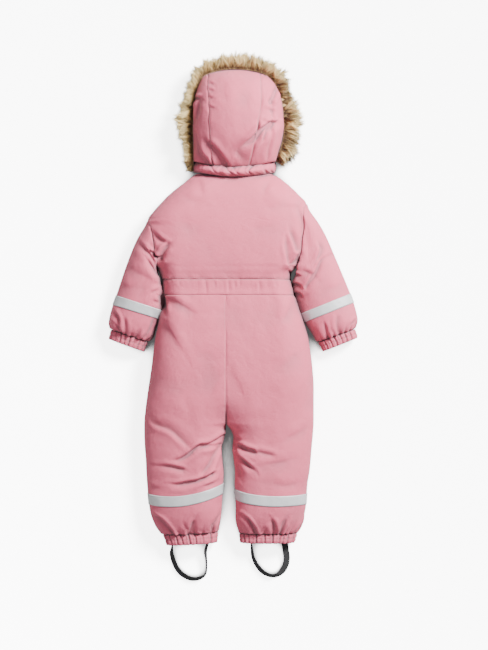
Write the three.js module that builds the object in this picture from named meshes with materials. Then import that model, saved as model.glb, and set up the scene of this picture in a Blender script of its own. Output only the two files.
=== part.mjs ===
// A baby's padded snowsuit lying on its front with its back up, as it is laid out on a table. Millimetres.
// +X runs across the suit, +Y towards the hood and +Z up. The origin is on the underside, at the middle of its
// outline. Every cloth piece is a wall between an outer and an inner sheet of points.
import * as THREE from "three";

// Cloth, tape and seams.
const CLOTH = 4;
const SEAM = 0.3;
const HALF_SEAM = SEAM / 2;
const TAPE = 1;
const TAPE_GAP = 0.5;
const TAPE_LIFT = TAPE + TAPE_GAP;

// The suit's side seams run at this height, and its underside rounds up to them over this distance.
const SIDE_SEAM_HEIGHT = 22;
const UNDER_ROUND = 26;
const WAIST_TOP = 73;
const WAIST_BOTTOM = 41;
const NECK = 283;
const COLLAR_TOP = 308;
const COLLAR_TUCK = 15;
const PLACKET_MIDDLE = -2;
const PLACKET_HALF = 15;
const PLACKET_END = -150;
const BACK_SEAM = -1.5;
const CROTCH = -214;

// The tables are measured from the back seam. The whole suit is then moved to put its middle at the origin.
const MIDDLE = [-11.8, 1.6];

// Finishes, as colours of the outer cloth and the trims.
const PINK = { color: 0xdc9aa4, roughness: 0.75, metalness: 0 };
const SILVER = { color: 0xc4c6c8, roughness: 0.45, metalness: 0.1 };
const FUR = { color: 0xc9ac7c, roughness: 0.95, metalness: 0 };
const BLACK = { color: 0x242424, roughness: 0.6, metalness: 0 };

// Turns rows of numbers into records with the named columns.
function table(columns, rows) {
  return rows.map((row) => Object.fromEntries(columns.map((name, i) => [name, row[i]])));
}

const clamp = (x, low, high) => Math.min(Math.max(x, low), high);
const mix = (a, b, share) => a + (b - a) * share;
const smooth = (x) => {
  const s = clamp(x, 0, 1);
  return s * s * (3 - 2 * s);
};

// A smooth curve through a column of a table, read at any place between the first and the last row.
function curve(rows, key, column) {
  const at = rows.map((row) => row[key]);
  const value = rows.map((row) => row[column]);
  const last = rows.length - 1;
  const slope = value.map((_, i) => {
    const a = Math.max(i - 1, 0);
    const b = Math.min(i + 1, last);
    return (value[b] - value[a]) / (at[b] - at[a]);
  });
  const rising = at[last] > at[0];
  return (place) => {
    const p = rising ? clamp(place, at[0], at[last]) : clamp(place, at[last], at[0]);
    let i = 0;
    while (i < last - 1 && (rising ? p > at[i + 1] : p < at[i + 1])) i += 1;
    const h = at[i + 1] - at[i];
    const s = (p - at[i]) / h;
    const s2 = s * s;
    const s3 = s2 * s;
    return (
      value[i] * (2 * s3 - 3 * s2 + 1) +
      slope[i] * h * (s3 - 2 * s2 + s) +
      value[i + 1] * (3 * s2 - 2 * s3) +
      slope[i + 1] * h * (s3 - s2)
    );
  };
}

// Every column of a table as curves of its first column.
function curves(rows) {
  const [key, ...columns] = Object.keys(rows[0]);
  return Object.fromEntries(columns.map((name) => [name, curve(rows, key, name)]));
}

// The torso's outline and height from the collar down to the waist seam, row by row.
const TORSO = curves(
  table(
    ["y", "left", "right", "crown"],
    [
      [312, -56, 88, 41],
      [298, -58, 90, 43],
      [283, -67, 97.5, 46],
      [276, -77, 108, 51],
      [266, -88.5, 120.5, 57],
      [254, -104, 133.5, 62],
      [242, -118, 145.5, 66],
      [228, -131.5, 157.5, 69],
      [210, -147.5, 151.5, 72],
      [194, -158, 151, 74],
      [178, -151.2, 152, 76],
      [150, -145, 149, 78],
      [126, -143, 147, 78],
      [106, -139, 141.5, 77],
      [100, -136.5, 140, 76],
      [92, -134, 131, 75],
      [84, -133, 128, 73],
      [73, -131.5, 128, 71],
      [57, -129.5, 132.5, 70],
      [48, -128.5, 134, 71],
      [38, -127, 137, 73],
    ],
  ),
);

// A leg from the waist seam to its gathered hem. outer is the side seam, inner the back seam and then the inseam.
const LEG_COLUMNS = ["y", "outer", "inner", "crown"];
const LEFT_LEG = curves(
  table(LEG_COLUMNS, [
    [44, -128, BACK_SEAM, 72],
    [26, -125.5, BACK_SEAM, 75],
    [10, -131.5, BACK_SEAM, 77],
    [-6, -136.5, BACK_SEAM, 79],
    [-26, -140.5, BACK_SEAM, 80],
    [-58, -145.5, BACK_SEAM, 82],
    [-90, -149.5, BACK_SEAM, 82],
    [-130, -155.5, BACK_SEAM, 80],
    [-170, -161.3, BACK_SEAM, 77],
    [-202, -165, BACK_SEAM, 74],
    [-214, -165.5, BACK_SEAM, 73],
    [-236, -165.5, -4, 71],
    [-250, -165, -8, 70],
    [-264, -164.2, -11.4, 69],
    [-284, -162.5, -9.5, 68],
    [-310, -161.4, -6.8, 67],
    [-340, -159.4, -8, 65],
    [-378, -155.4, -10, 62],
    [-394, -152, -11, 59],
    [-406, -148, -12.4, 55],
    [-418, -142, -14, 49],
    [-428, -134, -16.5, 42],
    [-434, -128.5, -18.5, 37],
  ]),
);
const RIGHT_LEG = curves(
  table(LEG_COLUMNS, [
    [44, 136, BACK_SEAM, 72],
    [26, 142.5, BACK_SEAM, 75],
    [10, 147, BACK_SEAM, 77],
    [-10, 153.5, BACK_SEAM, 79],
    [-42, 162, BACK_SEAM, 81],
    [-82, 168.5, BACK_SEAM, 82],
    [-130, 173.2, BACK_SEAM, 80],
    [-170, 173.5, BACK_SEAM, 77],
    [-202, 173.5, BACK_SEAM, 74],
    [-214, 173.3, BACK_SEAM, 73],
    [-228, 172.5, 9, 71],
    [-240, 171.5, 12.5, 70],
    [-260, 169.6, 11, 69],
    [-288, 167.3, 13.6, 68],
    [-310, 165, 16, 67],
    [-334, 161, 15, 65],
    [-378, 158, 17.5, 62],
    [-394, 155.2, 17, 59],
    [-406, 154.4, 17, 55],
    [-418, 150, 19, 49],
    [-428, 144, 22.5, 42],
    [-434, 140.5, 25, 37],
  ]),
);
const LEG_END = -433;
// The legs' last rows tilt by this much from side seam to inseam.
const LEFT_TILT = { from: -330, to: LEG_END, drop: 2.6 };
const RIGHT_TILT = { from: -330, to: LEG_END, drop: 0 };

// A sleeve from its armhole to the gathered wrist: its outer and underarm edges, station by station.
const SLEEVE_COLUMNS = ["along", "outerX", "outerY", "innerX", "innerY", "crown", "rise"];
const LEFT_SLEEVE = curves(
  table(SLEEVE_COLUMNS, [
    [0, -158, 194, -139, 106, 60, 22],
    [45, -178.7, 158, -137, 78, 61, 22],
    [95, -198.7, 110, -132.5, 50, 60, 21],
    [150, -221.3, 44, -132.5, 15, 57, 20],
    [171, -228.5, 24, -137.5, -4, 55, 20],
    [196, -235.5, -2, -142.5, -25, 52, 19],
    [210, -236.5, -15, -147.5, -41, 46, 17],
    [220, -232, -25, -158, -50, 36, 14],
  ]),
);
const RIGHT_SLEEVE = curves(
  table(SLEEVE_COLUMNS, [
    [0, 157.5, 228, 140, 100, 60, 22],
    [50, 193.5, 170, 135.5, 77, 61, 22],
    [100, 217, 118, 136.5, 50, 60, 21],
    [160, 246.5, 47.5, 149.2, 8, 57, 20],
    [181, 253.5, 28.5, 157.5, -10, 55, 20],
    [206, 260.5, 2, 169, -31, 52, 19],
    [219, 261, -10, 177.5, -45, 46, 17],
    [229, 255.5, -24, 183, -50, 36, 14],
  ]),
);
const LEFT_SLEEVE_END = 220;
const RIGHT_SLEEVE_END = 229;
const ARMHOLE_ROUND = 30;
const ARMHOLE_BLEND = 0.3;

// Gathered cuffs and hems carry the tube on, narrowed by elastic: their edges at the seam and at the free end.
const GATHER_COLUMNS = ["along", "outerX", "outerY", "innerX", "innerY", "crown", "rise"];
const LEFT_CUFF = curves(
  table(GATHER_COLUMNS, [
    [0, -232, -25.2, -158, -50.2, 35, 14],
    [11, -235.5, -36.5, -162.5, -61, 34, 14],
    [21, -237.5, -44, -165.5, -70, 32, 14],
  ]),
);
const RIGHT_CUFF = curves(
  table(GATHER_COLUMNS, [
    [0, 255.5, -24.2, 183, -50.2, 35, 14],
    [11, 260, -34, 188.5, -60, 34, 14],
    [21, 261, -42, 192.5, -69, 32, 14],
  ]),
);
const LEFT_HEM = curves(
  table(GATHER_COLUMNS, [
    [0, -128, -435.6, -18.6, -430.4, 36, 15],
    [11, -124, -447, -18.5, -441, 38, 15],
    [21, -121, -457, -20, -451.5, 36, 15],
  ]),
);
const RIGHT_HEM = curves(
  table(GATHER_COLUMNS, [
    [0, 140, -433, 25.2, -433, 36, 15],
    [11, 138, -443, 25.5, -443, 38, 15],
    [20, 135, -452, 27, -452, 36, 15],
  ]),
);
const CUFF_LENGTH = 21;
const LEFT_HEM_LENGTH = 21;
const RIGHT_HEM_LENGTH = 20;

// The hood lies face down: rows from its neck seam to the top edge, each bowed by bow at the middle.
const HOOD = curves(
  table(
    ["row", "leftX", "leftY", "rightX", "rightY", "bow", "crown", "leftSeam", "rightSeam"],
    [
      [0, -66, 310, 97, 310, -14, 58, -26, 44],
      [10, -67, 324, 101, 324, -9, 76, -31, 49],
      [26, -67, 346, 108, 346, -4, 91, -33, 55],
      [50, -68, 372, 112.5, 372, 0, 99, -35, 61],
      [75, -67, 398, 112.5, 398, 3, 101, -35, 66],
      [100, -65, 422, 110.5, 422, 6, 98, -36, 69],
      [120, -62, 442, 105.5, 442, 9, 90, -38, 69],
      [136, -57, 459.5, 97, 461, 11, 76, -38.5, 68],
      [146, -50.5, 474, 87.5, 473.5, 12, 56, -38, 67],
      [152, -44.5, 483, 79, 482, 10, 34, -37, 66.5],
    ],
  ),
);
const HOOD_END = 152;
const HOOD_EDGE_HEIGHT = 34;
const HOOD_FOOT = 11;
const HOOD_TUCK = 14;

// The rolled band round the hood's neck.
const BAND = curves(
  table(
    ["along", "leftX", "leftY", "rightX", "rightY", "bow", "puff"],
    [
      [0, -66, 309.5, 97, 309.5, -14, 9],
      [6, -68, 303, 98, 303, -13, 15],
      [12, -68, 297, 97, 297, -12, 16],
      [18, -66, 291, 95.5, 290, -11, 9],
    ],
  ),
);
const BAND_WIDTH = 18;
const BAND_FOOT = 5;

// The fur trim round the face, clockwise from the left: where it is sewn on and how far its hair reaches.
const FUR_PATH = table(
  ["x", "y", "reach"],
  [
    [-71, 292, 9],
    [-71, 308, 16],
    [-71, 324, 18],
    [-72, 348, 20],
    [-72, 370, 31],
    [-72, 390, 33],
    [-70, 412, 27],
    [-65.5, 444, 22],
    [-58, 466, 22],
    [-45, 485, 24],
    [-12, 496, 26],
    [22, 498, 27],
    [52, 494.5, 28],
    [80, 485.5, 29],
    [100, 465, 26],
    [109.5, 441, 21],
    [115, 413, 29],
    [118, 386, 33],
    [117, 360, 31],
    [112, 338, 31],
    [106, 322, 22],
    [102, 310, 10],
  ],
);
const FUR_STATIONS = 56;
const FUR_HEIGHT = 46;
const FUR_UNDER = 10;
const FUR_SOLE = 9;

// Foot straps: the path of the lower edge in plan, its height, and how far the ribbon leans over outwards.
const STRAP_COLUMNS = ["x", "y", "foot", "lean"];
const STRAP_WIDTH = 15;
const STRAP_THICK = 1.6;
const LEFT_STRAP = table(STRAP_COLUMNS, [
  [-109, -438, 8, 0],
  [-109, -450, 8.5, 2],
  [-112.5, -463, 6.6, 12],
  [-115.5, -474, 2.2, 22],
  [-114, -486, 0, 26],
  [-107.5, -504, 0, 28],
  [-96, -519.5, 0, 30],
  [-79, -529.5, 0, 28],
  [-63, -531, 0, 24],
  [-48.5, -525.5, 0, 18],
  [-41.5, -516, 0, 8],
  [-40, -500, 0, 6],
  [-40.5, -484, 0.2, 8],
  [-40.5, -471, 2.4, 14],
  [-38, -460, 5, 14],
  [-36, -450, 5.4, 8],
  [-35, -438, 5.4, 4],
]);
const RIGHT_STRAP = table(STRAP_COLUMNS, [
  [48, -438, 5, 4],
  [48, -450, 5, 4],
  [47.5, -458, 4, 8],
  [47.5, -468, 1.5, 12],
  [49, -484, 0, 18],
  [56, -501, 0, 24],
  [69, -516.5, 0, 26],
  [87, -524, 0, 22],
  [103, -522.5, 0, 24],
  [116, -514, 0, 38],
  [124, -500, 0, 50],
  [126.5, -484, 0.5, 54],
  [124.5, -469, 3, 56],
  [123, -458, 5.4, 54],
  [121.5, -450, 6.6, 48],
  [120, -438, 6.8, 40],
]);

// The largest folds of the back: a line from one end to the other, its half width and its depth.
const FOLDS = table(
  ["fromX", "fromY", "toX", "toY", "width", "depth"],
  [
    [-152, 188, -143, 126, 8, -6],
    [-138, 170, -126, 134, 11, 4],
    [-176, 148, -150, 96, 10, -5],
    [122, 160, 124, 112, 9, -5],
    [136, 156, 140, 118, 8, -4],
    [182, 142, 172, 102, 9, -5],
    [204, 118, 172, 84, 8, -4],
    [-132, 2, -84, -56, 12, -3.5],
    [-162, -260, -118, -304, 14, -5],
    [-12, -240, -62, -262, 8, -6],
    [-14, -262, -76, -300, 9, -5],
    [-24, -318, -96, -330, 9, -4],
    [16, -246, 66, -266, 8, -7],
    [20, -262, 62, -296, 8, -5],
    [40, -262, 100, -276, 9, -4],
    [-138, -384, -104, -424, 8, -5],
    [48, -382, 76, -424, 8, -5],
    [-84, -392, -72, -426, 7, -4],
    [108, -392, 100, -426, 7, -4],
  ],
);
const HOOD_FOLDS = table(
  ["fromX", "fromY", "toX", "toY", "width", "depth"],
  [
    [-58, 330, -58, 432, 7, -7],
    [-30, 338, 12, 306, 10, -7],
    [22, 322, 86, 366, 8, -8],
    [96, 380, 92, 330, 8, -6],
    [104, 446, 92, 404, 7, -7],
  ],
);

// The height that a set of folds adds at a place.
function foldHeight(folds, x, y) {
  return folds.reduce((sum, fold) => {
    const dx = fold.toX - fold.fromX;
    const dy = fold.toY - fold.fromY;
    const long = Math.hypot(dx, dy);
    const along = ((x - fold.fromX) * dx + (y - fold.fromY) * dy) / long;
    const aside = ((x - fold.fromX) * dy - (y - fold.fromY) * dx) / long;
    const past = Math.max(0, Math.abs(along - long / 2) - long / 2 + fold.width);
    return sum + fold.depth * Math.exp(-((aside / fold.width) ** 2) - (past / fold.width) ** 2);
  }, 0);
}

// How far a rounded edge has dropped at share s of its rounding. A rolled edge (lean 1) starts upright.
function drop(s, lean) {
  const left = 1 - clamp(s, 0, 1);
  const rolled = 1 - Math.sqrt(1 - left * left);
  return mix(left * left, rolled, lean);
}

// A point of a cross section, at share r of the way from its left to its right edge. off moves the sheet outwards.
function sectionPoint(section, side, r, off) {
  const { left, right, leanLeft, leanRight } = section;
  const width = Math.hypot(right.x - left.x, right.y - left.y);
  const wide = width + off * (leanLeft + leanRight);
  const share = (r * wide - off * leanLeft) / width;
  const bowed = 1 - (2 * r - 1) ** 2;
  const x = mix(left.x, right.x, share);
  const y = mix(left.y, right.y, share) + (section.bow ?? 0) * bowed;
  const shape = section[side];
  const out = side === "back" ? 1 : -1;
  const middle = shape.middle + out * off;
  const leftEdge = shape.leftEdge + out * off * (1 - leanLeft);
  const rightEdge = shape.rightEdge + out * off * (1 - leanRight);
  const fromLeft = drop((r * wide) / (shape.leftRound + off * leanLeft), leanLeft);
  const fromRight = drop(((1 - r) * wide) / (shape.rightRound + off * leanRight), leanRight);
  return { x, y, z: middle + (leftEdge - middle) * fromLeft + (rightEdge - middle) * fromRight };
}

// Shares across a panel, closer together near its edges.
const eased = (share) => (1 - Math.cos(Math.PI * share)) / 2;

// A closed wall between two sheets of (across + 1) by (along + 1) points; a ring joins its first and last column.
function wall(across, along, outer, inner, ring = false) {
  const columns = ring ? across : across + 1;
  const points = [];
  for (const sheet of [outer, inner]) {
    for (let j = 0; j <= along; j += 1) {
      for (let i = 0; i < columns; i += 1) {
        const p = sheet(i / across, j / along, i, j);
        points.push(p.x, p.y, p.z);
      }
    }
  }
  const layer = columns * (along + 1);
  const id = (k, i, j) => k * layer + j * columns + (i % columns);
  const faces = [];
  const quad = (a, b, c, d) => faces.push(a, b, c, a, c, d);
  for (let j = 0; j < along; j += 1) {
    for (let i = 0; i < across; i += 1) {
      quad(id(0, i, j), id(0, i + 1, j), id(0, i + 1, j + 1), id(0, i, j + 1));
      quad(id(1, i, j), id(1, i, j + 1), id(1, i + 1, j + 1), id(1, i + 1, j));
    }
  }
  for (let i = 0; i < across; i += 1) {
    quad(id(0, i, 0), id(1, i, 0), id(1, i + 1, 0), id(0, i + 1, 0));
    quad(id(0, i, along), id(0, i + 1, along), id(1, i + 1, along), id(1, i, along));
  }
  for (let j = 0; j < along && !ring; j += 1) {
    quad(id(0, 0, j), id(0, 0, j + 1), id(1, 0, j + 1), id(1, 0, j));
    quad(id(0, across, j), id(1, across, j), id(1, across, j + 1), id(0, across, j + 1));
  }
  return solid(points, faces);
}

// A closed geometry from points and triangles, with its faces turned outwards.
function solid(points, faces) {
  let volume = 0;
  const corner = (k) => new THREE.Vector3().fromArray(points, 3 * k);
  for (let f = 0; f < faces.length; f += 3) {
    const [a, b, c] = [corner(faces[f]), corner(faces[f + 1]), corner(faces[f + 2])];
    volume += a.dot(b.cross(c));
  }
  if (volume < 0) {
    for (let f = 0; f < faces.length; f += 3) [faces[f], faces[f + 1]] = [faces[f + 1], faces[f]];
  }
  const geometry = new THREE.BufferGeometry();
  geometry.setAttribute("position", new THREE.Float32BufferAttribute(points, 3));
  geometry.setIndex(faces);
  geometry.computeVertexNormals();
  return geometry;
}

// The armholes, where torso and sleeve share one seam from the shoulder to the underarm.
const ARMHOLES = {
  left: { top: 194, bottom: 106, x: TORSO.left },
  right: { top: 228, bottom: 100, x: TORSO.right },
};
const ARM_CROWN = 60;
const armholeSpan = (hole) => Math.hypot(hole.x(hole.top) - hole.x(hole.bottom), hole.top - hole.bottom);

// The torso's edge at a row: its height on the back and under the front, and whether it is rolled there.
function torsoEdge(hole, y) {
  const inside = y < hole.top && y > hole.bottom;
  if (!inside) return { back: SIDE_SEAM_HEIGHT, front: SIDE_SEAM_HEIGHT, lean: 1, round: 62 };
  const r = (hole.top - y) / (hole.top - hole.bottom);
  const near = Math.min(r, 1 - r) * armholeSpan(hole);
  const rounded = drop(near / ARMHOLE_ROUND, 1);
  const under = drop(near / UNDER_ROUND, 1);
  return {
    back: mix(ARM_CROWN, SIDE_SEAM_HEIGHT, rounded),
    front: mix(0, SIDE_SEAM_HEIGHT, under),
    lean: Math.max(0, 1 - near / 12),
    round: 62,
  };
}

// The torso's cross section at a row.
function torsoSection(y) {
  const left = torsoEdge(ARMHOLES.left, y);
  const right = torsoEdge(ARMHOLES.right, y);
  const crown = TORSO.crown(y);
  return {
    left: { x: TORSO.left(y) + (1 - left.lean) * HALF_SEAM, y },
    right: { x: TORSO.right(y) - (1 - right.lean) * HALF_SEAM, y },
    leanLeft: left.lean,
    leanRight: right.lean,
    back: {
      middle: crown,
      leftEdge: left.back,
      rightEdge: right.back,
      leftRound: left.round,
      rightRound: right.round,
    },
    front: {
      middle: 0,
      leftEdge: left.front,
      rightEdge: right.front,
      leftRound: UNDER_ROUND,
      rightRound: UNDER_ROUND,
    },
  };
}

// Where a leg is under its tape, the leg's underside is lifted so that the tape lies flush on the table.
function tapeLift(tape, y) {
  const off = Math.abs(y - tape.middle) - tape.width / 2 - tape.slope;
  return TAPE_LIFT * (1 - smooth(off / 8));
}

// A leg's cross section at a row. side is -1 for the left leg and 1 for the right one.
function legSection(leg, tilt, tape, side, y) {
  const split = smooth((CROTCH + 4 - y) / 14);
  const dip = smooth((-100 - y) / 120);
  const crown = leg.crown(y);
  const backSeam = mix(crown - 4 - 26 * dip * dip, SIDE_SEAM_HEIGHT, split);
  const frontSeam = mix(0, SIDE_SEAM_HEIGHT, split);
  const rise = mix(SIDE_SEAM_HEIGHT, 15, smooth((-390 - y) / 40));
  const tilted = tilt.drop * smooth((tilt.from - y) / (tilt.from - tilt.to));
  const outer = { x: leg.outer(y), y: y - tilted };
  const apart = Math.max(0, side * (leg.inner(y) - BACK_SEAM));
  const inner = { x: BACK_SEAM + side * (apart + HALF_SEAM), y: y + tilted };
  const width = Math.abs(outer.x - inner.x);
  const outerRound = mix(62, width / 2, split);
  const innerRound = mix(40, width / 2, split);
  const lift = tapeLift(tape, y);
  const innerBack = split < 1 ? backSeam : rise;
  const innerFront = split < 1 ? frontSeam : rise;
  return {
    left: outer,
    right: inner,
    leanLeft: 1,
    leanRight: split,
    back: { middle: crown, leftEdge: rise, rightEdge: innerBack, leftRound: outerRound, rightRound: innerRound },
    front: {
      middle: lift,
      leftEdge: rise,
      rightEdge: innerFront,
      leftRound: UNDER_ROUND,
      rightRound: UNDER_ROUND,
    },
  };
}

// A cross section of a sleeve, cuff or hem between its outer and its inner edge.
function tubeSection(edges, along, lift = 0) {
  const left = { x: edges.outerX(along), y: edges.outerY(along) };
  const right = { x: edges.innerX(along), y: edges.innerY(along) };
  const half = Math.hypot(left.x - right.x, left.y - right.y) / 2;
  const rise = edges.rise(along);
  return {
    left,
    right,
    leanLeft: 1,
    leanRight: 1,
    back: { middle: edges.crown(along), leftEdge: rise, rightEdge: rise, leftRound: half, rightRound: half },
    front: { middle: lift, leftEdge: rise, rightEdge: rise, leftRound: UNDER_ROUND, rightRound: UNDER_ROUND },
  };
}

// Walks once round a tube: over the back from edge to edge, and home under the front.
function roundPoint(section, share, off) {
  const over = share < 0.5;
  const r = over ? eased(2 * share) : eased(2 - 2 * share);
  return sectionPoint(section, over ? "back" : "front", r, off);
}

// Tapes that ring a leg or a sleeve.
const LEFT_LEG_TAPE = { middle: -362, width: 21, slope: 20 };
const RIGHT_LEG_TAPE = { middle: -363, width: 21, slope: 11 };
const LEFT_SLEEVE_TAPE = { from: 150.5, to: 170.5 };
const RIGHT_SLEEVE_TAPE = { from: 160.5, to: 180.5 };

const leftLeg = (y) => legSection(LEFT_LEG, LEFT_TILT, LEFT_LEG_TAPE, -1, y);
const rightLeg = (y) => legSection(RIGHT_LEG, RIGHT_TILT, RIGHT_LEG_TAPE, 1, y);

// Adds the suit's folds to a point on the back.
function folded(point, strength = 1) {
  const fade = strength * smooth((point.z - SIDE_SEAM_HEIGHT - 3) / 14);
  return { ...point, z: point.z + fade * foldHeight(FOLDS, point.x, point.y) };
}

// A back panel of the torso or a leg between two rows, with seam valleys along its ends.
function backPanel(section, rows, across, waves = 0) {
  const along = rows.length - 1;
  const sheet = (off, detail) => (u, v, i, j) => {
    const y = rows[j];
    const point = folded(sectionPoint(section(y), "back", eased(u), off));
    const seam = 1.6 * (drop((rows[0] - y) / 9, 0) + drop((y - rows[along]) / 9, 0));
    const gather = waves ? 0.9 * Math.sin(2 * Math.PI * waves * u) * Math.sin(Math.PI * v) : 0;
    const edge = u === 0 || u === 1;
    point.z += edge ? 0 : detail * (gather - seam);
    point.z += HALF_SEAM * edgeGap(section(y), u);
    return point;
  };
  return wall(across, along, sheet(0, 1), sheet(-CLOTH, 0));
}

// A rolled edge stops half a seam gap above the side seam.
function edgeGap(section, u) {
  if (u === 0) return section.leanLeft;
  return u === 1 ? section.leanRight : 0;
}

// A front panel of a half of the suit, from the closing out to the side, row by row.
function frontPanel(section, rows, across) {
  const along = rows.length - 1;
  const sheet = (off) => (u, v, i, j) => {
    const part = section(rows[j]);
    const point = sectionPoint(part, "front", eased(u), off);
    point.z -= HALF_SEAM * edgeGap(part, u);
    return point;
  };
  return wall(across, along, sheet(0), sheet(-CLOTH));
}

// The front half of the torso on one side of the placket, then the leg below it, as one run of sections.
function frontSection(side, y) {
  const legs = side < 0 ? leftLeg(y) : rightLeg(y);
  const torso = torsoSection(Math.max(y, WAIST_BOTTOM));
  const outerTorso = side < 0 ? torso.left : torso.right;
  const below = smooth((WAIST_BOTTOM - y) / 1);
  const outer = y > WAIST_BOTTOM ? { x: outerTorso.x, y } : legs.left;
  const openTo = PLACKET_MIDDLE + side * (PLACKET_HALF + SEAM);
  const closing = smooth((y - PLACKET_END + 1) / 1);
  const inner = { x: mix(legs.right.x, openTo, closing), y: y > WAIST_BOTTOM ? y : legs.right.y };
  const edge = side < 0 ? torso.front.leftEdge : torso.front.rightEdge;
  const lean = side < 0 ? torso.leanLeft : torso.leanRight;
  return {
    left: outer,
    right: inner,
    leanLeft: mix(lean, 1, below),
    leanRight: y > CROTCH + 4 ? 0 : legs.leanRight,
    front: {
      middle: legs.front.middle,
      leftEdge: y > WAIST_BOTTOM ? edge : legs.front.leftEdge,
      rightEdge: y > CROTCH + 4 ? 0 : legs.front.rightEdge,
      leftRound: UNDER_ROUND,
      rightRound: UNDER_ROUND,
    },
  };
}

// The rows of points down the suit: the back and the front panels share them, so their side seams match.
const UPPER_ROWS = [
  NECK - HALF_SEAM,
  ...[270, 256, 242, 228, 225, 219, 208, 194, 191, 185, 174, 160, 145, 130, 118, 110],
  ...[106, 103.5, 100, 92, 84],
  WAIST_TOP + HALF_SEAM,
];
const WAIST_ROWS = [WAIST_TOP - HALF_SEAM, 62, 52, WAIST_BOTTOM + HALF_SEAM];
const LEG_ROWS = [
  WAIST_BOTTOM - HALF_SEAM,
  ...[22, -4, -36, -72, -110, -149, -151, -178, -200, -210, -217, -226, -240, -256, -278, -304, -330],
  ...[-346, -362, -378, -393, -406, -418],
  LEG_END + HALF_SEAM,
];
const FRONT_ROWS = [...UPPER_ROWS, ...WAIST_ROWS.slice(1, -1), ...LEG_ROWS];

// The shares round a sleeve at which the torso's rows meet its armhole.
function armShares(hole) {
  const rows = UPPER_ROWS.filter((y) => y <= hole.top && y >= hole.bottom);
  return rows.map((y) => (hole.top - y) / (hole.top - hole.bottom));
}

// A sleeve as one tube. Its first ring follows the armhole, and its underside is lifted under the tape.
function sleeve(edges, hole, side, length, tape) {
  const shares = armShares(hole);
  const half = shares.length - 1;
  const upper = [0, 18, 40, 68, 98, 124, tape.from - 9];
  const stations = [...upper, tape.from - 1, tape.to + 1, tape.to + 9, length - 22, length - 10, length];
  const sheet = (off) => (share, v, i, j) => {
    const at = stations[j];
    const t = at / length;
    const away = Math.max(tape.from - at, at - tape.to, 0);
    const lift = TAPE_LIFT * (1 - smooth(away / 8));
    const section = tubeSection(edges, at, lift);
    section.back.leftRound = mix(ARMHOLE_ROUND, section.back.leftRound, smooth(t / ARMHOLE_BLEND));
    section.back.rightRound = mix(ARMHOLE_ROUND, section.back.rightRound, smooth(t / ARMHOLE_BLEND));
    const over = i < half;
    const point = sectionPoint(section, over ? "back" : "front", shares[over ? i : 2 * half - i], off);
    const straight = mix(
      edges.outerX(0),
      edges.innerX(0),
      (edges.outerY(0) - point.y) / (edges.outerY(0) - edges.innerY(0)),
    );
    const fade = Math.max(0, 1 - t / ARMHOLE_BLEND) ** 2;
    const within = clamp(point.y, edges.innerY(0), edges.outerY(0));
    point.x += fade * (hole.x(within) - straight + side * HALF_SEAM);
    const edge = i === 0 || i === half;
    return over && !edge ? folded(point, smooth((tape.from - at) / 20)) : point;
  };
  return wall(2 * half, stations.length - 1, sheet(0), sheet(-CLOTH), true);
}

// A gathered ring: pleats of uneven depth on the outside of a plain inner face.
function gathered(edges, length, pleats, along) {
  const across = 2 * pleats;
  const sheet = (off, pleated) => (share, v, i) => {
    const at = mix(HALF_SEAM, length, v);
    const depth = (i % 2 ? 1.5 : -1.1) + 0.5 * Math.sin(2.3 * i);
    const under = share > 0.5;
    const flat = under ? 0.25 : 1;
    const section = tubeSection(edges, at, 0);
    const point = roundPoint(section, share, off + pleated * flat * depth);
    return { ...point, z: Math.max(point.z, off < 0 ? CLOTH : 0) };
  };
  return wall(across, along, sheet(0, 1), sheet(-CLOTH, 0), true);
}

// A sleeve's reflective tape: a thin ring made from the sleeve's own points, moved out.
function sleeveTape(edges, hole, tape) {
  const shares = armShares(hole);
  const half = shares.length - 1;
  const sheet = (off) => (share, v, i) => {
    const over = i < half;
    const section = tubeSection(edges, mix(tape.from, tape.to, v), TAPE_LIFT);
    return sectionPoint(section, over ? "back" : "front", shares[over ? i : 2 * half - i], off);
  };
  return wall(2 * half, 2, sheet(TAPE_LIFT), sheet(TAPE_GAP), true);
}

// A leg's tape does not run level: it sags or climbs across the leg.
function legTape(leg, tape, climb, across) {
  const sheet = (off) => (share, v) => {
    const over = share < 0.5;
    const r = over ? eased(2 * share) : eased(2 - 2 * share);
    const y = tape.middle + (v - 0.5) * tape.width + climb(r);
    return sectionPoint(leg(y), over ? "back" : "front", r, off);
  };
  return wall(across, 1, sheet(TAPE_LIFT), sheet(TAPE_GAP), true);
}

// The hood's cross section at a row.
function hoodSection(row) {
  const left = { x: HOOD.leftX(row), y: HOOD.leftY(row) };
  const right = { x: HOOD.rightX(row), y: HOOD.rightY(row) };
  const round = 0.46 * (right.x - left.x);
  const shape = {
    middle: HOOD.crown(row),
    leftEdge: HOOD_EDGE_HEIGHT,
    rightEdge: HOOD_EDGE_HEIGHT,
    leftRound: round,
    rightRound: round,
  };
  return { left, right, leanLeft: 1, leanRight: 1, bow: HOOD.bow(row), back: shape };
}

// A panel of the hood between two shares across it, each a function of the row.
function hoodPanel(fromShare, toShare, across, along, leftGap, rightGap) {
  const sheet = (off) => (u, v) => {
    const row = HOOD_END * Math.sin((Math.PI / 2) * v);
    const upright = smooth((row - 96) / (HOOD_END - 96));
    const section = hoodSection(row);
    section.back.middle -= off * upright;
    const width = section.right.x - section.left.x;
    const start = fromShare(row) + leftGap / width;
    const end = toShare(row) - rightGap / width;
    const r = mix(start, end, leftGap && rightGap ? u : eased(u));
    const point = sectionPoint(section, "back", r, off);
    const fade = smooth((HOOD_END - row) / 30) * smooth((point.z - HOOD_EDGE_HEIGHT) / 14);
    point.z += fade * foldHeight(HOOD_FOLDS, point.x, point.y);
    point.y += off * upright;
    return point;
  };
  return wall(across, along, sheet(0), sheet(-CLOTH));
}

const hoodShare = (column) => (row) =>
  (HOOD[column](row) - HOOD.leftX(row)) / (HOOD.rightX(row) - HOOD.leftX(row));

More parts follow.
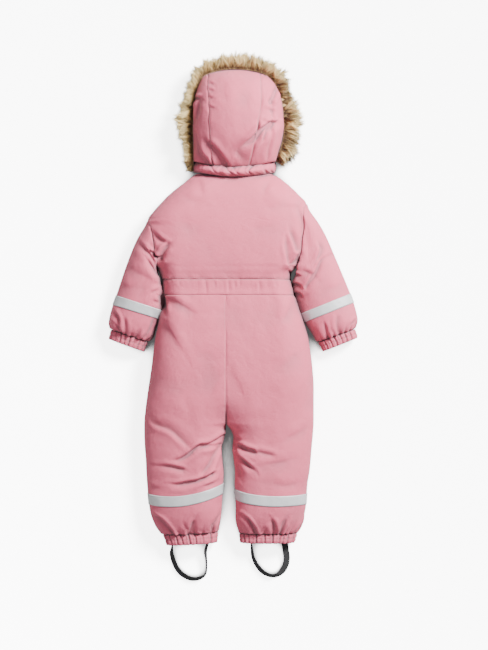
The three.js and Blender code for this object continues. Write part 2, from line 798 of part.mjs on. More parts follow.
// The hood's rim as seen from above, from the left of the neck over the top to the right of the neck.
function hoodRim() {
  const points = [];
  const steps = 13;
  for (let k = 0; k <= steps; k += 1) {
    const row = HOOD_END * Math.sin((Math.PI / 2) * (k / steps));
    points.push(new THREE.Vector2(HOOD.leftX(row), HOOD.leftY(row)));
  }
  const top = hoodSection(HOOD_END);
  for (let k = 1; k < 8; k += 1) {
    const p = sectionPoint(top, "back", k / 8, 0);
    points.push(new THREE.Vector2(p.x, p.y));
  }
  for (let k = steps; k >= 0; k -= 1) {
    const row = HOOD_END * Math.sin((Math.PI / 2) * (k / steps));
    points.push(new THREE.Vector2(HOOD.rightX(row), HOOD.rightY(row)));
  }
  return new THREE.SplineCurve(points);
}

// The rim's strip, which turns in under the hood towards the face.
function hoodEdge(across) {
  const rim = hoodRim();
  const arc = (share, off) => {
    const angle = (Math.PI / 2) * share * 0.9;
    const drop = HOOD_EDGE_HEIGHT - HOOD_FOOT;
    return {
      inwards: HOOD_TUCK * (1 - Math.cos(angle)) - off * Math.cos(angle),
      z: HOOD_EDGE_HEIGHT - SEAM - (drop - off * -1) * Math.sin(angle),
    };
  };
  const sheet = (off) => (u, v) => {
    const place = rim.getPointAt(u);
    const tangent = rim.getTangentAt(u);
    const { inwards, z } = arc(v, off);
    return { x: place.x + tangent.y * inwards, y: place.y - tangent.x * inwards, z };
  };
  return wall(across, 3, sheet(0), sheet(-CLOTH));
}

// The hood's neck band: a padded roll over the collar, open below.
function neckBand(across, along) {
  const sheet = (padded) => (u, v) => {
    const at = mix(HALF_SEAM, BAND_WIDTH, v);
    const section = {
      left: { x: BAND.leftX(at), y: BAND.leftY(at) },
      right: { x: BAND.rightX(at), y: BAND.rightY(at) },
      leanLeft: 1,
      leanRight: 1,
      bow: BAND.bow(at),
      back: {
        middle: 47 + BAND.puff(at),
        leftEdge: BAND_FOOT,
        rightEdge: BAND_FOOT,
        leftRound: 62,
        rightRound: 62,
      },
    };
    return sectionPoint(section, "back", eased(u), padded ? 0 : -BAND.puff(at) * 0.55);
  };
  return wall(across, along, sheet(true), sheet(false));
}

// The fur trim's outer form: a tufted ring, open at the chin, that lies on the table under the hood's edge.
function furTrim(stations) {
  const path = new THREE.SplineCurve(FUR_PATH.map((row) => new THREE.Vector2(row.x, row.y)));
  const reachAt = curve(FUR_PATH.map((row, i) => ({ i, reach: row.reach })), "i", "reach");
  const points = [];
  for (let k = 0; k <= stations; k += 1) {
    const share = k / stations;
    const place = path.getPoint(share);
    const tangent = path.getTangent(share);
    const tuft = (k % 2 ? 3.5 : -3.5) + 2 * Math.sin(1.7 * k);
    const reach = reachAt(share * (FUR_PATH.length - 1)) + tuft;
    const low = smooth((Math.min(k, stations - k) - 4) / 5);
    const height = mix(24, FUR_HEIGHT, low) + 0.6 * tuft;
    const sole = mix(-2, -FUR_UNDER, low);
    const profile = [
      [sole, 0],
      [0.55 * reach, 0],
      [reach - 2, 8],
      [reach, 17],
      [0.8 * reach, 0.72 * height],
      [0.42 * reach, 0.95 * height],
      [1, height - 4],
      [0, FUR_SOLE],
      [sole, FUR_SOLE],
    ];
    for (const [out, z] of profile) {
      points.push(place.x - tangent.y * out, place.y + tangent.x * out, z);
    }
  }
  const n = 9;
  const faces = [];
  for (let k = 0; k < stations; k += 1) {
    for (let i = 0; i < n; i += 1) {
      const [a, b] = [k * n + i, k * n + ((i + 1) % n)];
      faces.push(a, b, b + n, a, b + n, a + n);
    }
  }
  const last = stations * n;
  const cap = [
    [0, 7, 8],
    [0, 1, 7],
    [1, 6, 7],
    [1, 5, 6],
    [1, 2, 5],
    [2, 4, 5],
    [2, 3, 4],
  ];
  for (const [a, b, c] of cap) {
    faces.push(a, c, b);
    faces.push(last + a, last + b, last + c);
  }
  return solid(points, faces);
}

// A foot strap: a ribbon on edge that leans over as it goes round.
function footStrap(rows, steps) {
  const path = new THREE.CatmullRomCurve3(rows.map((row) => new THREE.Vector3(row.x, row.y, row.foot)));
  const leanAt = curve(rows.map((row, i) => ({ i, lean: row.lean })), "i", "lean");
  const sheet = (half) => (u, v) => {
    const place = path.getPoint(v);
    const tangent = path.getTangent(v).setZ(0).normalize();
    const lean = THREE.MathUtils.degToRad(leanAt(v * (rows.length - 1)));
    const outwards = new THREE.Vector3(tangent.y, -tangent.x, 0);
    const up = new THREE.Vector3(0, 0, Math.cos(lean)).addScaledVector(outwards, -Math.sin(lean));
    const normal = new THREE.Vector3(0, 0, Math.sin(lean)).addScaledVector(outwards, Math.cos(lean));
    place.z += (STRAP_THICK / 2) * Math.sin(lean);
    return place.addScaledVector(up, u * STRAP_WIDTH).addScaledVector(normal, half);
  };
  return wall(1, steps, sheet(STRAP_THICK / 2), sheet(-STRAP_THICK / 2));
}

// The placket that covers the front closing, from the collar seam to below the seat.
function placket() {
  const rows = 14;
  const sheet = (off) => (u, v) => ({
    x: PLACKET_MIDDLE + (2 * u - 1) * PLACKET_HALF,
    y: mix(NECK - 8, PLACKET_END + 2, v),
    z: -off,
  });
  return wall(2, rows, sheet(0), sheet(-CLOTH));
}

// The collar: a ring that stands on from the neck seam, inside the hood's band.
function collar(across) {
  const sheet = (off) => (share, v) => {
    const y = mix(NECK + HALF_SEAM, COLLAR_TOP, v);
    const part = torsoSection(y);
    const tuck = COLLAR_TUCK * smooth((y - NECK) / 5);
    part.left.x += tuck;
    part.right.x -= tuck;
    part.back.middle = 44 - 0.4 * tuck;
    return roundPoint(part, share, off);
  };
  return wall(across, 3, sheet(0), sheet(-CLOTH), true);
}

const suit = new THREE.Group();
suit.position.set(...MIDDLE, 0);

function add(name, geometry, finish) {
  const mesh = new THREE.Mesh(geometry, new THREE.MeshStandardMaterial(finish));
  mesh.name = name;
  suit.add(mesh);
}

add("upper_back", backPanel(torsoSection, UPPER_ROWS, 13), PINK);
add("waistband_back", backPanel(torsoSection, WAIST_ROWS, 40, 13), PINK);
add("left_leg_back", backPanel(leftLeg, LEG_ROWS, 10), PINK);
add("right_leg_back", backPanel(rightLeg, LEG_ROWS, 10), PINK);
add("left_front", frontPanel((y) => frontSection(-1, y), FRONT_ROWS, 5), PINK);
add("right_front", frontPanel((y) => frontSection(1, y), FRONT_ROWS, 5), PINK);
add("front_placket", placket(), PINK);
add("collar", collar(20), PINK);

add("left_sleeve", sleeve(LEFT_SLEEVE, ARMHOLES.left, -1, LEFT_SLEEVE_END, LEFT_SLEEVE_TAPE), PINK);
add("right_sleeve", sleeve(RIGHT_SLEEVE, ARMHOLES.right, 1, RIGHT_SLEEVE_END, RIGHT_SLEEVE_TAPE), PINK);
add("left_cuff", gathered(LEFT_CUFF, CUFF_LENGTH, 20, 2), PINK);
add("right_cuff", gathered(RIGHT_CUFF, CUFF_LENGTH, 20, 2), PINK);
add("left_hem", gathered(LEFT_HEM, LEFT_HEM_LENGTH, 23, 2), PINK);
add("right_hem", gathered(RIGHT_HEM, RIGHT_HEM_LENGTH, 23, 2), PINK);

add("left_sleeve_tape", sleeveTape(LEFT_SLEEVE, ARMHOLES.left, LEFT_SLEEVE_TAPE), SILVER);
add("right_sleeve_tape", sleeveTape(RIGHT_SLEEVE, ARMHOLES.right, RIGHT_SLEEVE_TAPE), SILVER);
add("left_leg_tape", legTape(leftLeg, LEFT_LEG_TAPE, (r) => -6 * Math.sin(Math.PI * r) + 20 * r ** 2, 28), SILVER);
add("right_leg_tape", legTape(rightLeg, RIGHT_LEG_TAPE, (r) => -2 * Math.sin(Math.PI * r) + 10 * r ** 4, 28), SILVER);

add("hood_centre", hoodPanel(hoodShare("leftSeam"), hoodShare("rightSeam"), 9, 12, HALF_SEAM, HALF_SEAM), PINK);
add("hood_left_side", hoodPanel(() => 0, hoodShare("leftSeam"), 6, 12, 0, HALF_SEAM), PINK);
add("hood_right_side", hoodPanel(hoodShare("rightSeam"), () => 1, 6, 12, HALF_SEAM, 0), PINK);
add("hood_edge", hoodEdge(30), PINK);
add("hood_band", neckBand(24, 4), PINK);
add("fur_trim", furTrim(FUR_STATIONS), FUR);

add("left_foot_strap", footStrap(LEFT_STRAP, 28), BLACK);
add("right_foot_strap", footStrap(RIGHT_STRAP, 26), BLACK);

export default suit;
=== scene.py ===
"""Dresses a baby's padded snowsuit that lies on its front, with its back up, and sets it on a pale floor.

Every size is in millimetres in the tables and becomes metres when a mesh is made. The tables are measured from the
back seam, and MIDDLE then moves each piece to the frame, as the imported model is.
"""

import logging
import math
from dataclasses import dataclass, field
from enum import Enum

import bpy
import numpy as np
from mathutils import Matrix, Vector


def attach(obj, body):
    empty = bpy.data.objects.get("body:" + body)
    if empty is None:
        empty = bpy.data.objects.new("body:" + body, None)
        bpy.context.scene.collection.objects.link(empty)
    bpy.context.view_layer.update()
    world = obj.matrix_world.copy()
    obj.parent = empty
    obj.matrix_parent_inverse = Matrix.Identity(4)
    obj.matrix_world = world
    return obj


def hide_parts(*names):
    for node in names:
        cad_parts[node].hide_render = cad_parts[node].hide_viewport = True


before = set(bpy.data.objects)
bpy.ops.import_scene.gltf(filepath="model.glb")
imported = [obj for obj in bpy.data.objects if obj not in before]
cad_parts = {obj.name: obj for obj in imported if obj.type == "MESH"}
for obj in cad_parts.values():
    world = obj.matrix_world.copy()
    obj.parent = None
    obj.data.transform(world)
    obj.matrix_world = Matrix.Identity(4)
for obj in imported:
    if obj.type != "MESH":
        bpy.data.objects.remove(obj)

LOG = logging.getLogger("snowsuit")
Array = np.ndarray

MM = 0.001
MIDDLE = (-11.8, 1.6, 0.0)
BODY = "root"
CLOTH = 4.0
SEAM = 0.1
HALF_SEAM = SEAM / 2
SIDE_SEAM_HEIGHT = 22.0
UNDER_ROUND = 26.0
WAIST_TOP = 74.5
WAIST_BOTTOM = 43.5
NECK = 283.0
COLLAR_TOP = 308.0
BACK_SEAM = -1.5
CROTCH = -214.0
LEG_END = -433.0
TAPE_LIFT = 1.5


class Slot(Enum):
    """The record's material slots."""

    SHELL = "shell_fabric"
    TAPE = "reflective_tape"
    FUR = "fur"
    ELASTIC = "black_elastic"


class Edge(Enum):
    """The sides of a cloth grid: its first and last row, and its first and last column."""

    TOP = "top"
    FOOT = "foot"
    LEFT = "left"
    RIGHT = "right"


# Shaping


def smooth(x: Array) -> Array:
    """Returns a soft step from 0 to 1 of x."""
    s = np.clip(x, 0.0, 1.0)
    return s * s * (3.0 - 2.0 * s)


def mix(a: Array, b: Array, share: Array) -> Array:
    """Returns a blend of a and b."""
    return a + (b - a) * share


def drop(s: Array, lean: Array) -> Array:
    """Returns how far a rounded edge has dropped at share s of its rounding.

    Args:
        s: The share of the rounding, from 0 at the edge to 1 where it ends.
        lean: 1 for a rolled edge that starts upright, 0 for a soft bevel.
    """
    left = 1.0 - np.clip(s, 0.0, 1.0)
    rolled = 1.0 - np.sqrt(np.maximum(0.0, 1.0 - left * left))
    return mix(left * left, rolled, lean)


def eased(share: Array) -> Array:
    """Returns even shares that crowd together just at both ends, where a section turns upright."""
    power = 6.0
    near = np.minimum(share, 1.0 - share)
    place = near * (power + 1) / power - (1.0 - (1.0 - 2.0 * near) ** (power + 1)) / (2.0 * power)
    return np.where(share < 0.5, place, 1.0 - place)


def crowded(start: float, end: float, count: int) -> Array:
    """Returns count places from start to end that lie closer together near both."""
    share = np.linspace(0.0, 1.0, count)
    return start + (end - start) * (share - 0.45 * np.sin(2 * np.pi * share) / (2 * np.pi))


@dataclass(frozen=True)
class Curve:
    """A smooth curve through given places."""

    at: Array
    value: Array

    def __call__(self, place: Array) -> Array:
        """Returns the curve's values at the given places, held at its ends."""
        at, value = self.at, self.value
        if at[-1] < at[0]:
            at, value = at[::-1], value[::-1]
        slope = np.empty_like(value)
        slope[1:-1] = (value[2:] - value[:-2]) / (at[2:] - at[:-2])
        slope[0] = (value[1] - value[0]) / (at[1] - at[0])
        slope[-1] = (value[-1] - value[-2]) / (at[-1] - at[-2])
        p = np.clip(place, at[0], at[-1])
        i = np.clip(np.searchsorted(at, p, side="right") - 1, 0, len(at) - 2)
        h = at[i + 1] - at[i]
        s = (p - at[i]) / h
        s2, s3 = s * s, s * s * s
        start = value[i] * (2 * s3 - 3 * s2 + 1) + slope[i] * h * (s3 - 2 * s2 + s)
        return start + value[i + 1] * (3 * s2 - 2 * s3) + slope[i + 1] * h * (s3 - s2)


def curves(columns: str, rows: list[tuple[float, ...]]) -> dict[str, Curve]:
    """Reads a table as curves of its first column.

    Args:
        columns: The names of the columns, parted by spaces.
        rows: The rows of the table.

    Returns:
        One curve for each column after the first.
    """
    data = np.array(rows, dtype=float)
    names = columns.split()
    return {name: Curve(data[:, 0], data[:, k]) for k, name in enumerate(names) if k}


def spline(points: Array, count: int) -> Array:
    """Returns count points along a smooth line through the given ones."""
    places = np.arange(len(points), dtype=float)
    t = np.linspace(0.0, len(points) - 1.0, count)
    return np.stack([Curve(places, points[:, k])(t) for k in range(points.shape[1])], axis=1)


class Noise:
    """Smooth random heights over a plane, the same on every run."""

    SIZE = 128

    def __init__(self, seed: int) -> None:
        """Fills the lattice from a fixed seed."""
        self.lattice = np.random.default_rng(seed).uniform(-1.0, 1.0, (self.SIZE, self.SIZE))

    def at(self, x: Array, y: Array) -> Array:
        """Returns heights from -1 to 1 at places x and y, one lattice step apart for each whole number."""
        i, j = np.floor(x).astype(int), np.floor(y).astype(int)
        u, v = smooth(x - i), smooth(y - j)
        n, t = self.SIZE, self.lattice
        low = mix(t[i % n, j % n], t[(i + 1) % n, j % n], u)
        high = mix(t[i % n, (j + 1) % n], t[(i + 1) % n, (j + 1) % n], u)
        return mix(low, high, v)


# The suit's tables, as in the part's source

TORSO = curves("y left right crown", [
    (312, -56, 88, 41), (298, -58, 90, 43), (283, -67, 97.5, 46), (276, -77, 108, 51), (266, -88.5, 120.5, 57),
    (254, -104, 133.5, 62), (242, -118, 145.5, 66), (228, -131.5, 157.5, 69), (210, -147.5, 151.5, 72),
    (194, -158, 151, 74), (178, -151.2, 152, 76), (150, -145, 149, 78), (126, -143, 147, 78),
    (106, -139, 141.5, 77), (100, -136.5, 140, 76), (92, -134, 131, 75), (84, -133, 128, 73),
    (73, -131.5, 128, 71), (57, -129.5, 132.5, 70), (48, -128.5, 134, 71), (38, -127, 137, 73),
])
LEFT_LEG = curves("y outer inner crown", [
    (44, -128, BACK_SEAM, 72), (26, -125.5, BACK_SEAM, 75), (10, -131.5, BACK_SEAM, 77), (-6, -136.5, BACK_SEAM, 79),
    (-26, -140.5, BACK_SEAM, 80), (-58, -145.5, BACK_SEAM, 82), (-90, -149.5, BACK_SEAM, 82),
    (-130, -155.5, BACK_SEAM, 80), (-170, -161.3, BACK_SEAM, 77), (-202, -165, BACK_SEAM, 74),
    (-214, -165.5, BACK_SEAM, 73), (-236, -165.5, -4, 71), (-250, -165, -8, 70), (-264, -164.2, -11.4, 69),
    (-284, -162.5, -9.5, 68), (-310, -161.4, -6.8, 67), (-340, -159.4, -8, 65), (-378, -155.4, -10, 62),
    (-394, -152, -11, 59), (-406, -148, -12.4, 55), (-418, -142, -14, 49), (-428, -134, -16.5, 42),
    (-434, -128.5, -18.5, 37),
])
RIGHT_LEG = curves("y outer inner crown", [
    (44, 136, BACK_SEAM, 72), (26, 142.5, BACK_SEAM, 75), (10, 147, BACK_SEAM, 77), (-10, 153.5, BACK_SEAM, 79),
    (-42, 162, BACK_SEAM, 81), (-82, 168.5, BACK_SEAM, 82), (-130, 173.2, BACK_SEAM, 80),
    (-170, 173.5, BACK_SEAM, 77), (-202, 173.5, BACK_SEAM, 74), (-214, 173.3, BACK_SEAM, 73), (-228, 172.5, 9, 71),
    (-240, 171.5, 12.5, 70), (-260, 169.6, 11, 69), (-288, 167.3, 13.6, 68), (-310, 165, 16, 67), (-334, 161, 15, 65),
    (-378, 158, 17.5, 62), (-394, 155.2, 17, 59), (-406, 154.4, 17, 55), (-418, 150, 19, 49),
    (-428, 144, 22.5, 42), (-434, 140.5, 25, 37),
])
TUBE_COLUMNS = "along outer_x outer_y inner_x inner_y crown rise"
LEFT_SLEEVE = curves(TUBE_COLUMNS, [
    (0, -158, 194, -139, 106, 60, 22), (45, -178.7, 158, -137, 78, 61, 22), (95, -198.7, 110, -132.5, 50, 60, 21),
    (150, -221.3, 44, -132.5, 15, 57, 20), (171, -228.5, 24, -137.5, -4, 55, 20), (196, -235.5, -2, -142.5, -25, 52, 19),
    (210, -236.5, -15, -147.5, -41, 46, 17), (220, -232, -25, -158, -50, 36, 14),
])
RIGHT_SLEEVE = curves(TUBE_COLUMNS, [
    (0, 157.5, 228, 140, 100, 60, 22), (50, 193.5, 170, 135.5, 77, 61, 22), (100, 217, 118, 136.5, 50, 60, 21),
    (160, 246.5, 47.5, 149.2, 8, 57, 20), (181, 253.5, 28.5, 157.5, -10, 55, 20), (206, 260.5, 2, 169, -31, 52, 19),
    (219, 261, -10, 177.5, -45, 46, 17), (229, 255.5, -24, 183, -50, 36, 14),
])
LEFT_TUCK = Curve(np.array([0.0, 8.0, 24.0, 55.0, 90.0, 130.0, 165.0, 200.0]), np.array([0.0, 12.0, 18.0, 17.0, 12.0, 8.0, 3.0, 0.0]))
RIGHT_TUCK = Curve(np.array([0.0, 10.0, 26.0, 54.0, 100.0, 150.0, 181.0, 210.0]), np.array([0.0, 10.0, 15.0, 11.0, 5.0, 5.0, 3.0, 0.0]))
LEFT_CUFF = curves(TUBE_COLUMNS, [
    (0, -232, -25.2, -158, -50.2, 35, 14), (11, -235.5, -36.5, -162.5, -61, 34, 14),
    (21, -237.5, -44, -165.5, -70, 32, 14),
])
RIGHT_CUFF = curves(TUBE_COLUMNS, [
    (0, 255.5, -24.2, 183, -50.2, 35, 14), (11, 260, -34, 188.5, -60, 34, 14),
    (21, 261, -42, 192.5, -69, 32, 14),
])
LEFT_HEM = curves(TUBE_COLUMNS, [
    (0, -128, -435.6, -18.6, -430.4, 36, 15), (11, -124, -447, -18.5, -441, 38, 15),
    (21, -121, -457, -20, -451.5, 36, 15),
])
RIGHT_HEM = curves(TUBE_COLUMNS, [
    (0, 140, -433, 25.2, -433, 36, 15), (11, 138, -443, 25.5, -443, 38, 15), (20, 135, -452, 27, -452, 36, 15),
])
HOOD = curves("row left_x left_y right_x right_y bow crown left_seam right_seam", [
    (0, -66, 310, 97, 310, -14, 58, -26, 44), (10, -67, 324, 101, 324, -9, 76, -31, 49),
    (26, -67, 346, 108, 346, -4, 91, -33, 55), (50, -68, 372, 112.5, 372, 0, 99, -35, 61),
    (75, -67, 398, 112.5, 398, 3, 101, -35, 66), (100, -65, 422, 110.5, 422, 6, 98, -36, 69),
    (120, -62, 442, 105.5, 442, 9, 90, -38, 69), (136, -57, 459.5, 97, 461, 11, 76, -38.5, 68),
    (146, -50.5, 474, 87.5, 473.5, 12, 56, -38, 67), (152, -44.5, 483, 79, 482, 10, 34, -37, 66.5),
])
HOOD_END = 152.0
HOOD_EDGE_HEIGHT = 34.0
HOOD_FOOT = 11.0
HOOD_TUCK = 14.0
BAND = curves("along left_x left_y right_x right_y bow puff", [
    (0, -65, 315, 96, 315, -14, 2), (5, -67, 310, 97.5, 310, -14, 9), (11, -69, 303, 98.5, 303, -13, 15),
    (17, -69, 296.5, 97.5, 296, -12, 16), (24, -66.5, 289.5, 95.5, 288.5, -11, 7),
])
FUR_PATH = np.array([
    (-71, 292, 9), (-71, 308, 16), (-71, 324, 18), (-72, 348, 20), (-72, 370, 31), (-72, 390, 33), (-70, 412, 27),
    (-65.5, 444, 22), (-58, 466, 22), (-45, 485, 24), (-12, 496, 26), (22, 498, 27), (52, 494.5, 28), (80, 485.5, 29),
    (100, 465, 26), (109.5, 441, 21), (115, 413, 29), (118, 386, 33), (117, 360, 31), (112, 338, 31), (106, 322, 22),
    (102, 310, 10),
], dtype=float)
LEFT_STRAP = np.array([
    (-109, -438, 8, 0), (-109, -450, 8.5, 2), (-112.5, -463, 6.6, 12), (-115.5, -474, 2.2, 22),
    (-114, -486, 0, 26), (-107.5, -504, 0, 28), (-96, -519.5, 0, 30), (-79, -529.5, 0, 28), (-63, -531, 0, 24),
    (-48.5, -525.5, 0, 18), (-41.5, -516, 0, 8), (-40, -500, 0, 6), (-40.5, -484, 0.2, 8),
    (-40.5, -471, 2.4, 14), (-38, -460, 5, 14), (-36, -450, 5.4, 8), (-35, -438, 5.4, 4),
], dtype=float)
RIGHT_STRAP = np.array([
    (48, -438, 5, 4), (48, -450, 5, 4), (47.5, -458, 4, 8), (47.5, -468, 1.5, 12), (49, -484, 0, 18),
    (56, -501, 0, 24), (69, -516.5, 0, 26), (87, -524, 0, 22), (103, -522.5, 0, 24), (116, -514, 0, 38),
    (124, -500, 0, 50), (126.5, -484, 0.5, 54), (124.5, -469, 3, 56), (123, -458, 5.4, 54),
    (121.5, -450, 6.6, 48), (120, -438, 6.8, 40),
], dtype=float)


# Cloth


@dataclass
class Profile:
    """Heights of one side of a tube's cross sections, one value for each row."""

    middle: Array
    left_edge: Array
    right_edge: Array
    left_round: Array
    right_round: Array


@dataclass
class Section:
    """Cross sections of a tube, one for each row of points."""

    left: Array
    right: Array
    lean_left: Array
    lean_right: Array
    bow: Array
    back: Profile
    front: Profile

    def _height(self, side: Profile, out: float, r: Array, wide: Array, off: float) -> Array:
        """Returns the heights of one side at shares r."""
        lean_left, lean_right = self.lean_left[:, None], self.lean_right[:, None]
        middle = side.middle[:, None] + out * off
        left_edge = side.left_edge[:, None] + out * off * (1 - lean_left)
        right_edge = side.right_edge[:, None] + out * off * (1 - lean_right)
        from_left = drop(r * wide / (side.left_round[:, None] + off * lean_left), lean_left)
        from_right = drop((1 - r) * wide / (side.right_round[:, None] + off * lean_right), lean_right)
        return middle + (left_edge - middle) * from_left + (right_edge - middle) * from_right

    def sheet(self, r: Array, over: Array, off: float = 0.0) -> Array:
        """Places the points of a sheet.

        Args:
            r: Shares across the section, from its left edge to its right one.
            over: True for the columns on the back, False for those under the front.
            off: How far the sheet lies outside the sections.

        Returns:
            An array of rows by columns by 3.
        """
        left, right = self.left[:, None, :], self.right[:, None, :]
        width = np.linalg.norm(right - left, axis=2)
        lean_left = self.lean_left[:, None]
        wide = width + off * (lean_left + self.lean_right[:, None])
        r = np.broadcast_to(r, (len(self.left), np.shape(r)[-1]))
        share = (r * wide - off * lean_left) / width
        plan = left + (right - left) * share[..., None]
        plan[..., 1] += self.bow[:, None] * (1 - (2 * r - 1) ** 2)
        top = self._height(self.back, 1.0, r, wide, off)
        under = self._height(self.front, -1.0, r, wide, off)
        return np.dstack([plan, np.where(over, top, under)])


@dataclass(frozen=True)
class Crease:
    """A fold along a bent line: a narrow valley between padded swells, with one side lapping over the other.

    A positive lap lifts the side that faces the hood, or the right sleeve where the fold runs up the suit. The ends
    are the shares of its strength that the fold keeps where it starts and stops.
    """

    path: tuple[tuple[float, float], ...]
    depth: float
    width: float = 3.4
    lap: float = 0.0
    ends: tuple[float, float] = (0.2, 0.2)

    STEPS = 22

    def _nearest(self, x: Array, y: Array, line: Array) -> tuple[Array, Array]:
        """Returns how far each place lies from the line, positive to its left, and its share along it."""
        p = np.stack([x, y], axis=1)
        piece = np.diff(line, axis=0)
        long = (piece**2).sum(axis=1)
        t = np.clip(((p[:, None] - line[None, :-1]) * piece).sum(axis=2) / long, 0.0, 1.0)
        to = p[:, None] - (line[None, :-1] + piece * t[..., None])
        far = np.hypot(to[..., 0], to[..., 1])
        best = far.argmin(axis=1)
        rows = np.arange(len(p))
        turned = piece[best, 0] * to[rows, best, 1] - piece[best, 1] * to[rows, best, 0]
        side = np.where(turned < 0, -1.0, 1.0)
        return side * far[rows, best], (best + t[rows, best]) / (len(line) - 1)

    def height(self, x: Array, y: Array) -> Array:
        """Returns the height that the fold adds at places x and y."""
        line = spline(np.array(self.path, dtype=float), self.STEPS)
        reach = 6.0 * self.width
        low, high = line.min(axis=0) - reach, line.max(axis=0) + reach
        near = (x > low[0]) & (x < high[0]) & (y > low[1]) & (y < high[1])
        out = np.zeros_like(x)
        if not near.any():
            return out
        away, along = self._nearest(x[near], y[near], line)
        chord = line[-1] - line[0]
        upper = 1.0 if 0.9 * chord[0] - 0.45 * chord[1] > 0 else -1.0
        lifted = np.sign(away) * upper * self.lap > 0
        flank = np.where(lifted, 0.7, 1.5) if self.lap else 1.0
        d = np.abs(away) / self.width
        head, tail = self.ends
        taper = mix(head, 1.0, smooth(along / 0.4)) * mix(tail, 1.0, smooth((1 - along) / 0.4))
        valley = -self.depth * np.exp(-(np.sqrt((d / flank) ** 2 + 0.01) ** 1.2))
        swell = 0.42 * self.depth * np.exp(-(((d / flank - 2.5) / 1.5) ** 2))
        lap = self.lap * upper * np.sign(away) * (1 - np.exp(-((d / 0.35) ** 2))) * np.exp(-((d / 2.6) ** 2))
        out[near] = (valley + swell + lap) * taper
        return out


@dataclass(frozen=True)
class Gathers:
    """Uneven pleats that an elastic draws in: sharp valleys with rounded ridges between them.

    Each valley has its share across the cloth, its depth, and how far it runs from the gathered edge.
    """

    valleys: tuple[tuple[float, float, float], ...]
    width: float = 2.1
    puff: float = 1.4

    def height(self, r: Array, wide: Array, away: Array, slant: float = 0.0) -> Array:
        """Returns the height to add across a gathered cloth.

        Args:
            r: Shares across the cloth.
            wide: The cloth's width at each row.
            away: How far each point lies from the gathered edge.
            slant: How far the valleys lean, each its own way, for each millimetre from that edge.
        """
        total = self.puff * np.exp(-away / 12.0)
        for share, depth, reach in self.valleys:
            fan = self.width * (1.0 + away / 22.0)
            bend = 0.02 * np.sin(away / 7.0 + 40.0 * share) + slant * away * math.sin(57.0 * share)
            d = np.abs(r - share - bend * smooth(away / 20.0)) * wide / fan
            fade = np.exp(-((away / reach) ** 2))
            total = total + depth * fade * (0.35 * np.exp(-(((d - 2.0) / 1.1) ** 2)) - np.exp(-(d**1.3)))
        return total


